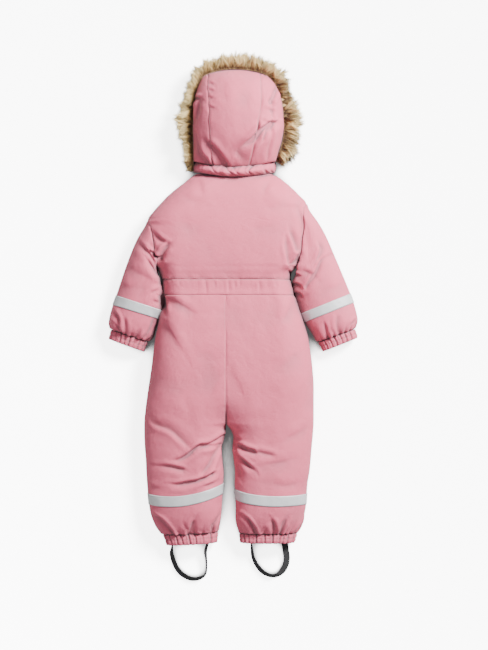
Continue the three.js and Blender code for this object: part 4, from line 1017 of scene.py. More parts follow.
@dataclass(frozen=True)
class FurHair:
    """Imitation fur hair: brown at the root, blond to cream at the tip, each lock a little different."""

    root: tuple[float, float, float, float] = (0.13, 0.07, 0.026, 1.0)
    body: tuple[float, float, float, float] = (0.66, 0.46, 0.185, 1.0)
    tip: tuple[float, float, float, float] = (0.97, 0.81, 0.42, 1.0)
    streak: tuple[float, float, float, float] = (0.09, 0.052, 0.024, 1.0)

    def make(self) -> bpy.types.Material:
        """Returns the finished material."""
        shader = Shader("blond_fur_hair")
        along = shader.node("ShaderNodeAttribute", attribute_name="along")
        shade = shader.node("ShaderNodeAttribute", attribute_name="shade")
        ramp = shader.node("ShaderNodeValToRGB")
        stops = ramp.color_ramp.elements
        stops[0].position, stops[0].color = 0.12, self.root
        stops[1].position, stops[1].color = 0.92, self.tip
        middle = stops.new(0.45)
        middle.color = self.body
        shader.link(along.outputs["Fac"], ramp.inputs["Fac"])
        # The shade attribute draws each hair towards the streak colour: the fur's own streaks, fewer on the trim's left
        # side as painted light.
        blend = shader.node("ShaderNodeMix", data_type="RGBA")
        blend.inputs[7].default_value = self.streak
        shader.link(ramp.outputs["Color"], blend.inputs[6])
        shader.link(shade.outputs["Fac"], blend.inputs["Factor"])
        shader.link(blend.outputs[2], shader.skin.inputs["Base Color"])
        shader.set(Roughness=0.62, Sheen_Weight=0.08, Sheen_Roughness=0.5, Specular_IOR_Level=0.3)
        return shader.material


@dataclass(frozen=True)
class FurBacking:
    """The knitted backing and dense underfur between the hairs."""

    dark: tuple[float, float, float, float] = (0.26, 0.16, 0.072, 1.0)
    light: tuple[float, float, float, float] = (0.50, 0.34, 0.16, 1.0)

    def make(self) -> bpy.types.Material:
        """Returns the finished material."""
        shader = Shader("brown_underfur")
        noise = shader.node("ShaderNodeTexNoise")
        noise.inputs["Scale"].default_value = 210.0
        noise.inputs["Detail"].default_value = 5.0
        shader.link(shader.coordinates(uv=False), noise.inputs["Vector"])
        blend = shader.node("ShaderNodeMix", data_type="RGBA")
        blend.inputs[6].default_value = self.dark
        blend.inputs[7].default_value = self.light
        shader.link(noise.outputs["Fac"], blend.inputs["Factor"])
        shader.link(blend.outputs[2], shader.skin.inputs["Base Color"])
        shader.bump(noise.outputs["Fac"], 0.003)
        shader.set(Roughness=0.95, Sheen_Weight=0.4)
        return shader.material


@dataclass(frozen=True)
class SewingThread:
    """Twisted sewing thread in one colour."""

    name: str
    colour: tuple[float, float, float, float]

    def make(self, weave: bpy.types.NodeTree) -> bpy.types.Material:
        """Returns the finished material."""
        shader = Shader(self.name)
        twist = shader.group(weave, Across=2600.0, Along=2600.0)
        shader.link(shader.coordinates(uv=False), twist.inputs["Vector"])
        blend = shader.node("ShaderNodeMix", data_type="RGBA")
        blend.inputs[6].default_value = self.colour
        blend.inputs[7].default_value = tuple(0.7 * k for k in self.colour[:3]) + (1.0,)
        shader.link(twist.outputs["Height"], blend.inputs["Factor"])
        shader.link(blend.outputs[2], shader.skin.inputs["Base Color"])
        shader.set(Roughness=0.6, Sheen_Weight=0.1)
        return shader.material


class Finishes:
    """Every material of the suit, made once."""

    def __init__(self) -> None:
        """Builds the shared groups and the materials."""
        weave, crumple = weave_group(), crumple_group()
        self.shell = ShellFabric().make(weave, crumple)
        self.tape = ReflectiveTape().make(weave, crumple)
        self.elastic = BlackElastic().make(weave)
        self.hair = FurHair().make()
        self.backing = FurBacking().make()
        self.pink_thread = SewingThread("pink_sewing_thread", (0.66, 0.30, 0.34, 1.0)).make(weave)
        self.grey_thread = SewingThread("grey_sewing_thread", (0.48, 0.44, 0.46, 1.0)).make(weave)


# Geometry Nodes


class Rig:
    """A Geometry Nodes tree with named inputs, run once on an object and then turned into a plain mesh."""

    def __init__(self, name: str, inputs: dict[str, tuple[str, object]]) -> None:
        """Makes the tree with its sockets.

        Args:
            name: The tree's name.
            inputs: Socket types and default values by name, besides the geometry.
        """
        self.tree = bpy.data.node_groups.new(name, "GeometryNodeTree")
        face = self.tree.interface
        face.new_socket("Geometry", in_out="INPUT", socket_type="NodeSocketGeometry")
        self.keys: dict[str, str] = {}
        for key, (kind, value) in inputs.items():
            socket = face.new_socket(key, in_out="INPUT", socket_type=kind)
            if value is not None:
                socket.default_value = value
            self.keys[key] = socket.identifier
        face.new_socket("Geometry", in_out="OUTPUT", socket_type="NodeSocketGeometry")
        self.given = self.tree.nodes.new("NodeGroupInput").outputs
        self.result = self.tree.nodes.new("NodeGroupOutput").inputs[0]

    def node(self, kind: str, **settings: object) -> bpy.types.Node:
        """Adds a node and sets its properties."""
        made = self.tree.nodes.new(kind)
        for key, value in settings.items():
            setattr(made, key, value)
        return made

    def feed(self, node: bpy.types.Node, **values: object) -> bpy.types.Node:
        """Links or sets a node's inputs by name, with underscores for spaces.

        Args:
            node: The node.
            values: Sockets or plain values by input name.

        Returns:
            The node.
        """
        for key, value in values.items():
            socket = next(s for s in node.inputs if s.name == key.replace("_", " ") and s.enabled)
            if isinstance(value, bpy.types.NodeSocket):
                self.tree.links.new(value, socket)
            else:
                socket.default_value = value
        return node

    def close(self, instances: bpy.types.NodeSocket) -> None:
        """Realizes the instances and gives them the material."""
        real = self.feed(self.node("GeometryNodeRealizeInstances"), Geometry=instances)
        painted = self.node("GeometryNodeSetMaterial")
        self.feed(painted, Geometry=real.outputs[0], Material=self.given["Material"])
        self.tree.links.new(painted.outputs[0], self.result)

    def run(self, source: bpy.types.Object, name: str, **values: object) -> bpy.types.Object:
        """Runs the tree on an object and keeps the result.

        Args:
            source: The object to work on, which is removed.
            name: The result's name.
            values: Input values by name.

        Returns:
            A new plain mesh object.
        """
        modifier = source.modifiers.new("rig", "NODES")
        modifier.node_group = self.tree
        for key, value in values.items():
            modifier[self.keys[key.replace("_", " ")]] = value
        graph = bpy.context.evaluated_depsgraph_get()
        mesh = bpy.data.meshes.new_from_object(source.evaluated_get(graph))
        source.modifiers.remove(modifier)
        bpy.data.objects.remove(source)
        mesh.name = name
        piece = bpy.data.objects.new(name, mesh)
        bpy.context.scene.collection.objects.link(piece)
        return piece


@dataclass(frozen=True)
class Stitching:
    """Rows of stitches along seam lines."""

    pitch: float = 3.4
    length: float = 2.5
    thick: float = 0.62

    def rig(self) -> Rig:
        """Returns the tree that lays one stitch after another along a line."""
        sizes = {
            "Pitch": ("NodeSocketFloat", self.pitch * MM),
            "Length": ("NodeSocketFloat", self.length * MM),
            "Thick": ("NodeSocketFloat", self.thick * MM),
            "Material": ("NodeSocketMaterial", None),
        }
        rig = Rig("stitch_rows", sizes)
        line = rig.feed(rig.node("GeometryNodeMeshToCurve"), Mesh=rig.given["Geometry"])
        points = rig.node("GeometryNodeCurveToPoints", mode="LENGTH")
        rig.feed(points, Curve=line.outputs[0], Length=rig.given["Pitch"])
        bead = rig.feed(rig.node("GeometryNodeMeshUVSphere"), Segments=4, Rings=3, Radius=0.5)
        shape = rig.node("ShaderNodeCombineXYZ")
        rig.feed(shape, X=rig.given["Thick"], Y=rig.given["Thick"], Z=rig.given["Length"])
        laid = rig.node("GeometryNodeInstanceOnPoints")
        rig.feed(laid, Points=points.outputs["Points"], Instance=bead.outputs["Mesh"])
        rig.feed(laid, Rotation=points.outputs["Rotation"], Scale=shape.outputs[0])
        rig.close(laid.outputs[0])
        return rig

    def sew(self, name: str, lines: list[Array], thread: bpy.types.Material) -> bpy.types.Object:
        """Sews rows of stitches.

        Args:
            name: The piece's name.
            lines: Points along each row, in millimetres.
            thread: The thread's material.

        Returns:
            The stitches as one mesh.
        """
        mesh = bpy.data.meshes.new(name + "_lines")
        points = (np.concatenate(lines) + np.array(MIDDLE)) * MM
        edges, start = [], 0
        for line in lines:
            edges += [(start + k, start + k + 1) for k in range(len(line) - 1)]
            start += len(line)
        mesh.from_pydata(points.tolist(), edges, [])
        source = bpy.data.objects.new(name + "_lines", mesh)
        bpy.context.scene.collection.objects.link(source)
        piece = self.rig().run(source, name, Material=thread)
        piece.data.shade_smooth()
        return piece


# The suit


def declare(piece: bpy.types.Object, node: str) -> bpy.types.Object:
    """Puts a cloth piece in the frame and hides the solid that it stands for.

    Args:
        piece: The piece.
        node: The solid that it stands for.

    Returns:
        The piece.
    """
    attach(piece, BODY)
    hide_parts(node)
    return piece


def trim(piece: bpy.types.Object) -> bpy.types.Object:
    """Puts a trim that stands for no solid in the frame and returns it."""
    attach(piece, BODY)
    LOG.info("%s: %d faces", piece.name, len(piece.data.polygons))
    return piece


@dataclass(frozen=True)
class Armhole:
    """The seam that the torso and a sleeve share, from the shoulder to the underarm."""

    top: float
    bottom: float
    line: Curve
    crown: float = 60.0
    round: float = 30.0

    def edge(self, y: Array) -> tuple[Array, Array, Array]:
        """Returns the torso's edge at each row: its height on the back, under the front, and its lean."""
        inside = (y < self.top) & (y > self.bottom)
        span = math.hypot(float(self.line(self.top) - self.line(self.bottom)), self.top - self.bottom)
        r = (self.top - y) / (self.top - self.bottom)
        near = np.minimum(r, 1 - r) * span
        back = mix(self.crown, SIDE_SEAM_HEIGHT, drop(near / self.round, 1.0))
        front = mix(0.0, SIDE_SEAM_HEIGHT, drop(near / UNDER_ROUND, 1.0))
        lean = np.maximum(0.0, 1 - near / 12.0)
        plain = np.full_like(y, SIDE_SEAM_HEIGHT)
        return np.where(inside, back, plain), np.where(inside, front, plain), np.where(inside, lean, 1.0)


LEFT_ARMHOLE = Armhole(194.0, 106.0, TORSO["left"])
RIGHT_ARMHOLE = Armhole(228.0, 100.0, TORSO["right"])


def torso_section(y: Array) -> Section:
    """Returns the torso's cross sections at rows y."""
    left_back, left_front, left_lean = LEFT_ARMHOLE.edge(y)
    right_back, right_front, right_lean = RIGHT_ARMHOLE.edge(y)
    left = np.stack([TORSO["left"](y) + (1 - left_lean) * HALF_SEAM, y], axis=1)
    right = np.stack([TORSO["right"](y) - (1 - right_lean) * HALF_SEAM, y], axis=1)
    broad, narrow = mix(62.0, 40.0, smooth((150 - y) / 60)), np.full_like(y, UNDER_ROUND)
    back = Profile(TORSO["crown"](y), left_back, right_back, broad, broad)
    front = Profile(np.zeros_like(y), left_front, right_front, narrow, narrow)
    return Section(left, right, left_lean, right_lean, np.zeros_like(y), back, front)


@dataclass(frozen=True)
class Leg:
    """One leg with its half of the seat, from the waistband to the gathered hem."""

    name: str
    side: int
    shape: dict[str, Curve]
    hem: dict[str, Curve]
    hem_length: float
    tape_middle: float
    tape_slope: float
    tape_sag: float
    tape_climb: float
    tape_power: float
    tilt: float
    tape_width: float = 21.0

    def section(self, y: Array) -> Section:
        """Returns the leg's cross sections at rows y, from the side seam to the inseam."""
        split = smooth((CROTCH + 4 - y) / 14)
        dip = smooth((-140 - y) / 80)
        crown = self.shape["crown"](y)
        seam = mix(crown - 1.4 - 24 * dip * dip, SIDE_SEAM_HEIGHT, split)
        under = mix(np.zeros_like(y), SIDE_SEAM_HEIGHT, split)
        rise = mix(SIDE_SEAM_HEIGHT, 15.0, smooth((-390 - y) / 40))
        tilted = self.tilt * smooth((-330 - y) / (-330 - LEG_END))
        outer = np.stack([self.shape["outer"](y), y - tilted], axis=1)
        apart = np.maximum(0.0, self.side * (self.shape["inner"](y) - BACK_SEAM))
        inner = np.stack([BACK_SEAM + self.side * (apart + HALF_SEAM), y + tilted], axis=1)
        width = np.abs(outer[:, 0] - inner[:, 0])
        parting = smooth((-105 - y) / 105)
        outer_round = mix(mix(40.0, 62.0, smooth((WAIST_BOTTOM - y) / 110)), width / 2, parting)
        inner_round = mix(np.full_like(y, 40.0), 0.36 * width, parting)
        away = np.abs(y - self.tape_middle) - self.tape_width / 2 - self.tape_slope
        lift = TAPE_LIFT * (1 - smooth(away / 8))
        inner_back = np.where(split < 1, seam, rise)
        inner_front = np.where(split < 1, under, rise)
        narrow = np.full_like(y, UNDER_ROUND)
        back = Profile(crown, rise, inner_back, outer_round, inner_round)
        front = Profile(lift, rise, inner_front, narrow, narrow)
        return Section(outer, inner, np.ones_like(y), split, np.zeros_like(y), back, front)

    def tape_row(self, r: Array, v: float) -> Array:
        """Returns the rows of the tape at shares r, at share v of its width."""
        climb = -self.tape_sag * np.sin(np.pi * r) + self.tape_climb * r**self.tape_power
        return self.tape_middle + (v - 0.5) * self.tape_width + climb


LEFT = Leg("left", -1, LEFT_LEG, LEFT_HEM, 21.0, -362.0, 20.0, 6.0, 20.0, 2.0, 2.6)
RIGHT = Leg("right", 1, RIGHT_LEG, RIGHT_HEM, 20.0, -363.0, 11.0, 2.0, 10.0, 4.0, 0.0)


def tube_section(edges: dict[str, Curve], along: Array, lift: Array) -> Section:
    """Returns cross sections of a sleeve, cuff or hem.

    Args:
        edges: The tube's edges, crown and rise.
        along: Places along the tube.
        lift: How far its underside is raised at each place.
    """
    left = np.stack([edges["outer_x"](along), edges["outer_y"](along)], axis=1)
    right = np.stack([edges["inner_x"](along), edges["inner_y"](along)], axis=1)
    half = np.linalg.norm(left - right, axis=1) / 2
    rise = edges["rise"](along)
    ones, narrow = np.ones_like(along), np.full_like(along, UNDER_ROUND)
    back = Profile(edges["crown"](along), rise, rise, half, half)
    return Section(left, right, ones, ones, np.zeros_like(along), back, Profile(lift, rise, rise, narrow, narrow))


def around(over: int, under: int) -> tuple[Array, Array]:
    """Returns the shares and sides of the columns once round a tube."""
    top = eased(np.linspace(0.0, 1.0, over + 1))
    back = eased(np.linspace(1.0, 0.0, under + 1))[1:-1]
    return np.concatenate([top, back]), np.concatenate([np.ones(over + 1, bool), np.zeros(under - 1, bool)])


def panel(section: Section, columns: int, over: bool = True) -> Grid:
    """Returns one side of a tube as a cloth grid with the given number of columns."""
    r = eased(np.linspace(0.0, 1.0, columns + 1))
    side = np.full(columns + 1, over)
    outer, inner = section.sheet(r, side), section.sheet(r, side, -CLOTH)
    gap = HALF_SEAM if over else -HALF_SEAM
    for sheet in (outer, inner):
        sheet[:, 0, 2] += gap * section.lean_left
        sheet[:, -1, 2] += gap * section.lean_right
    return Grid(outer, inner)


@dataclass
class Back:
    """The upper back and the puckered waistband."""

    finishes: Finishes
    relief: Relief = field(default_factory=lambda: Relief(tuple(CREASES), lumps=0.9))
    waist_relief: Relief = field(default_factory=lambda: Relief(tuple(WAIST_CREASES), lumps=0.5))

    def upper(self) -> list[Array]:
        """Builds the upper back and returns its stitch lines."""
        rows = crowded(NECK - HALF_SEAM, WAIST_TOP + HALF_SEAM, 108)
        plain = panel(torso_section(rows), 128)
        armhole = (0.35, 120.0, 185.0)
        seams = (
            Seam(Edge.FOOT, dip=1.2, pucker=1.1, reach=8.0, spacing=11.0, seed=31),
            Seam(Edge.LEFT, dip=1.0, dip_width=3.2, pucker=0.9, spacing=10.0, seed=32, grows=armhole),
            Seam(Edge.RIGHT, dip=1.4, dip_width=3.0, pucker=0.9, spacing=10.0, seed=33, grows=armhole),
            Seam(Edge.TOP, dip=1.4, pucker=1.2, reach=12.0, spacing=9.0, seed=34),
        )
        grid = plain.raised(self.relief.height(plain.points), seams)
        declare(cloth_object("back_yoke", grid, self.finishes.shell), "upper_back")
        armholes = [grid.line(edge, 3.2)[16:-8] for edge in (Edge.LEFT, Edge.RIGHT)]
        return [grid.line(Edge.FOOT, 2.4)[6:-6], *armholes]

    def waistband(self) -> list[Array]:
        """Builds the waistband and returns its stitch lines."""
        rows = np.linspace(WAIST_TOP - HALF_SEAM, WAIST_BOTTOM + HALF_SEAM, 21)
        plain = panel(torso_section(rows), 190)
        seams = (
            Seam(Edge.TOP, dip=1.5, dip_width=2.4, pucker=1.1, reach=6.0, spacing=10.0, seed=41),
            Seam(Edge.FOOT, dip=1.1, dip_width=2.0, pucker=0.4, reach=5.0, spacing=8.0, seed=42),
        )
        grid = plain.raised(self.waist_relief.height(plain.points), seams)
        declare(cloth_object("waistband", grid, self.finishes.shell), "waistband_back")
        return [grid.line(Edge.TOP, 2.2)[6:-6]]

    def collar(self) -> None:
        """Builds the collar that stands under the hood."""
        rows = np.linspace(NECK + HALF_SEAM, COLLAR_TOP, 14)
        section = torso_section(rows)
        tuck = 15.0 * smooth((rows - NECK) / 5)
        section.left[:, 0] += tuck
        section.right[:, 0] -= tuck
        section.back.middle[:] = 44.0 - 0.4 * tuck
        r, over = around(90, 40)
        plain = Grid(section.sheet(r, over), section.sheet(r, over, -CLOTH), ring=True)
        ripple = Noise(51).at(plain.u / 9.0, plain.v / 30.0) * 1.1 * over
        grid = plain.raised(ripple, (Seam(Edge.TOP, dip=1.0, pucker=0.8),))
        grid.points[..., 2] = np.maximum(grid.points[..., 2], 0.0)
        declare(cloth_object("neck_collar", grid, self.finishes.shell), "collar")


@dataclass
class LegCloth:
    """A leg's back panel and its tape."""

    leg: Leg
    finishes: Finishes
    pleats: Gathers
    relief: Relief = field(default_factory=lambda: Relief(tuple(CREASES), lumps=1.1))
    tape_off: float = 1.0
    tape_under: float = 0.35

    def back(self) -> list[Array]:
        """Builds the seat and leg back and returns its stitch lines."""
        rows = crowded(WAIST_BOTTOM - HALF_SEAM, LEG_END + HALF_SEAM, 275)
        plain = panel(self.leg.section(rows), 108)
        seams = (
            Seam(Edge.TOP, dip=0.9, dip_width=2.2, pucker=0.7, reach=9.0, spacing=12.0, seed=61),
            Seam(Edge.FOOT, dip=2.4, dip_width=2.4, pucker=1.0, reach=9.0, spacing=5.0, seed=62 + self.leg.side),
            Seam(Edge.RIGHT, dip=1.7, pucker=0.8, reach=7.0, spacing=9.0, seed=64, grows=(0.35, 150.0, 250.0)),
            Seam(Edge.LEFT, dip=0.8, pucker=0.4, spacing=9.0, seed=65),
        )
        share = plain.u / plain.u[:, -1:]
        away, _ = plain.inset(Edge.FOOT)
        height = self.relief.height(plain.points) + self.pleats.height(share, plain.u[:, -1:], away)
        grid = plain.raised(height, seams)
        name = self.leg.name
        declare(cloth_object(f"{name}_leg", grid, self.finishes.shell), f"{name}_leg_back")
        lines = [grid.line(Edge.TOP, 2.4)[4:-2], grid.line(Edge.RIGHT, 2.6)[3:-6]]
        return lines if self.leg.side < 0 else lines[:1]

    def tape(self) -> list[Array]:
        """Builds the reflective tape round the leg and returns its stitch lines."""
        r, over = around(110, 60)
        sheets = {}
        for off in (self.tape_off, self.tape_under):
            rows = []
            for v in np.linspace(1.0, 0.0, 9):
                y = self.leg.tape_row(r, float(v))
                section = self.leg.section(y)
                cells = section.sheet(r[None, :], over, off)
                rows.append(cells[np.arange(len(r)), np.arange(len(r))])
            sheets[off] = np.array(rows)
        plain = Grid(sheets[self.tape_off], sheets[self.tape_under], ring=True)
        folds = self.relief.height(plain.points) * over
        grid = plain.raised(folds, hold_inner=False)
        grid.inner[..., 2] = np.maximum(grid.inner[..., 2], 0.0)
        name = self.leg.name
        declare(cloth_object(f"{name}_leg_band", grid, self.finishes.tape), f"{name}_leg_tape")
        return [grid.line(Edge.TOP, 1.6), grid.line(Edge.FOOT, 1.6)]


@dataclass
class GatheredRing:
    """An elastic cuff or hem: a tube drawn into uneven pleats."""

    name: str
    node: str
    edges: dict[str, Curve]
    length: float
    small_pleats: int
    seed: int
    pleats: Gathers
    finishes: Finishes
    depth: float = 0.6
    columns: int = 168

    def __post_init__(self) -> None:
        """Narrows the pleats for the short ring."""
        self.narrow = Gathers(self.pleats.valleys, width=1.5, puff=0.6)

    def build(self) -> list[Array]:
        """Builds the ring and returns its stitch lines."""
        r, over = around(self.columns, 60)
        along = np.linspace(HALF_SEAM, self.length, 15)
        section = tube_section(self.edges, along, np.zeros_like(along))
        plain = Grid(section.sheet(r, over), section.sheet(r, over, -CLOTH), ring=True)
        noise = Noise(self.seed)
        turn = plain.u / plain.u[:, -1:] * self.small_pleats
        drift = 3.0 * noise.at(turn / 2.9, plain.v / 14.0) + 0.7 * noise.at(turn / 1.1, plain.v / 9.0 + 7.0)
        wave = np.cos(2 * np.pi * (turn + 0.5 * drift))
        uneven = 0.7 + 0.7 * noise.at(turn / 1.4 + 30.0, plain.v / 30.0)
        height = self.depth * uneven * (0.35 + wave * 0.65 - 0.35 * wave**2)
        top = plain.u[:, self.columns:self.columns + 1]
        share = plain.v / plain.v[-1:]
        across = np.clip(plain.u / top, 0.0, 1.0)
        height = height + 1.0 * self.narrow.height(across, top, 5.0 * share, 0.011)
        height = height - 1.0 * np.exp(-(((share - 0.5) / 0.07) ** 2))
        height = height - 0.9 * smooth((share - 0.88) / 0.12) - 1.3 * smooth((0.1 - share) / 0.1)
        grid = plain.raised(height * np.where(over, 1.0, 0.2))
        grid.points[..., 2] = np.maximum(grid.points[..., 2], 0.0)
        declare(cloth_object(self.name, grid, self.finishes.shell), self.node)
        return [grid.line(Edge.TOP, self.length * 0.5, 0.2)]


@dataclass
class Sleeve:
    """A padded sleeve with its tape."""

    name: str
    side: int
    edges: dict[str, Curve]
    hole: Armhole
    length: float
    tape_from: float
    tape_to: float
    tuck: Curve
    pleats: Gathers
    finishes: Finishes
    blend: float = 0.3
    tape_off: float = 1.0
    tape_under: float = 0.35
    relief: Relief = field(default_factory=lambda: Relief(tuple(CREASES), lumps=1.1))

    def _lift(self, along: Array) -> Array:
        """Returns how far the underside is raised, to let the tape lie under it."""
        away = np.maximum(np.maximum(self.tape_from - along, along - self.tape_to), 0.0)
        return TAPE_LIFT * (1 - smooth(away / 8))

    def _sheet(self, along: Array, r: Array, over: Array, off: float) -> Array:
        """Returns a sheet of the sleeve, drawn to the armhole's line at its start."""
        section = tube_section(self.edges, along, self._lift(along))
        inward = section.right - section.left
        inward /= np.linalg.norm(inward, axis=1, keepdims=True)
        section.right = section.right + inward * self.tuck(along)[:, None]
        t = along / self.length
        share = smooth(t / self.blend)
        section.back.left_round = mix(self.hole.round, section.back.left_round, share)
        section.back.right_round = mix(self.hole.round, section.back.right_round, share)
        sheet = section.sheet(r, over, off)
        top_x, top_y = (float(self.edges[k](np.array(0.0))) for k in ("outer_x", "outer_y"))
        low_x, low_y = (float(self.edges[k](np.array(0.0))) for k in ("inner_x", "inner_y"))
        straight = mix(top_x, low_x, (top_y - sheet[..., 1]) / (top_y - low_y))
        fade = np.maximum(0.0, 1 - t / self.blend)[:, None] ** 2
        within = np.clip(sheet[..., 1], low_y, top_y)
        sheet[..., 0] += fade * (self.hole.line(within) - straight + self.side * HALF_SEAM)
        return sheet

    def build(self) -> list[Array]:
        """Builds the sleeve and returns an empty list of stitch lines."""
        half = 96
        r, over = around(half, 28)
        along = crowded(0.0, self.length, 112)
        plain = Grid(self._sheet(along, r, over, 0.0), self._sheet(along, r, over, -CLOTH), ring=True)
        seams = (
            Seam(Edge.TOP, dip=2.0, dip_width=3.0, pucker=1.0, reach=10.0, spacing=9.0, seed=71 + self.side),
            Seam(Edge.FOOT, dip=2.2, dip_width=2.2, pucker=0.9, reach=8.0, spacing=4.6, seed=73 + self.side),
        )
        top = plain.u[:, half:half + 1]
        away, _ = plain.inset(Edge.FOOT)
        height = self.relief.height(plain.points) + self.pleats.height(np.clip(plain.u / top, 0.0, 1.0), top, away)
        grid = plain.raised(height * over, seams)
        keep = np.where(over, 1.0, 0.25)[None, :, None]
        grid.points = plain.points + (grid.points - plain.points) * keep
        grid.points[..., 2] = np.maximum(grid.points[..., 2], 0.0)
        name = f"{self.name}_sleeve"
        declare(cloth_object(f"{name}_cloth", grid, self.finishes.shell), name)
        return []

    def tape(self) -> list[Array]:
        """Builds the reflective tape round the sleeve and returns its stitch lines."""
        r, over = around(90, 46)
        along = np.linspace(self.tape_from, self.tape_to, 9)
        sheets = [self._sheet(along, r, over, off) for off in (self.tape_off, self.tape_under)]
        plain = Grid(*sheets, ring=True)
        grid = plain.raised(self.relief.height(plain.points) * over, hold_inner=False)
        name = f"{self.name}_sleeve"
        declare(cloth_object(f"{name}_band", grid, self.finishes.tape), f"{name}_tape")
        return [grid.line(Edge.TOP, 1.6), grid.line(Edge.FOOT, 1.6)]


@dataclass
class Front:
    """The fronts and the placket, which lie on the floor."""

    finishes: Finishes
    placket_middle: float = -2.0
    placket_half: float = 15.0
    placket_end: float = -150.0

    def section(self, leg: Leg, y: Array) -> Section:
        """Returns one half of the front at rows y, from the side to the closing."""
        legs = leg.section(y)
        torso = torso_section(np.maximum(y, WAIST_BOTTOM))
        side = torso.left if leg.side < 0 else torso.right
        edge = torso.front.left_edge if leg.side < 0 else torso.front.right_edge
        lean = torso.lean_left if leg.side < 0 else torso.lean_right
        upper = y > WAIST_BOTTOM
        outer = np.where(upper[:, None], np.stack([side[:, 0], y], axis=1), legs.left)
        open_to = self.placket_middle + leg.side * (self.placket_half + SEAM)
        closing = smooth(y - self.placket_end + 1)
        inner_x = mix(legs.right[:, 0], open_to, closing)
        inner = np.stack([inner_x, np.where(upper, y, legs.right[:, 1])], axis=1)
        whole = y > CROTCH + 4
        left_edge = np.where(upper, edge, legs.front.left_edge)
        right_edge = np.where(whole, 0.0, legs.front.right_edge)
        narrow = np.full_like(y, UNDER_ROUND)
        front = Profile(legs.front.middle, left_edge, right_edge, narrow, narrow)
        lean_left = np.where(upper, lean, 1.0)
        return Section(outer, inner, lean_left, np.where(whole, 0.0, legs.lean_right), 0 * y, front, front)

    def half(self, leg: Leg) -> None:
        """Builds one half of the front."""
        rows = np.linspace(NECK - HALF_SEAM, LEG_END + HALF_SEAM, 150)
        plain = panel(self.section(leg, rows), 30, over=False)
        noise = Noise(81 + leg.side)
        x, y = plain.points[..., 0], plain.points[..., 1]
        away = np.minimum(plain.u, plain.u[:, -1:] - plain.u)
        hollow = np.maximum(0.0, noise.at(x / 30.0, y / 44.0) + 0.5 * noise.at(x / 12.0 + 9.0, y / 17.0)) * 1.7
        grid = plain.raised(-hollow * smooth(away / 12.0) * (plain.points[..., 2] < 2.0))
        grid.points[..., 2] = np.maximum(grid.points[..., 2], 0.0)
        name = leg.name
        declare(cloth_object(f"{name}_front_cloth", grid, self.finishes.shell), f"{name}_front")

    def placket(self) -> list[Array]:
        """Builds the flap over the closing and returns its stitch lines."""
        rows = np.linspace(NECK - 8, self.placket_end + 2, 110)
        share = np.linspace(-1.0, 1.0, 17)
        x = self.placket_middle + self.placket_half * share[None, :] + 0 * rows[:, None]
        y = rows[:, None] + 0 * x
        ripple = 0.5 + 0.5 * Noise(91).at(y / 15.0, x / 20.0)
        hem = 1 - smooth((1 - np.abs(share)) / 0.12)
        outer = np.dstack([x, y, 0.8 * ripple * (1 - hem)])
        inner = np.dstack([x, y, np.full_like(x, CLOTH)])
        grid = Grid(outer, inner)
        declare(cloth_object("closing_flap", grid, self.finishes.shell), "front_placket")
        return [grid.line(Edge.LEFT, 3.0, 0.1), grid.line(Edge.RIGHT, 3.0, 0.1)]


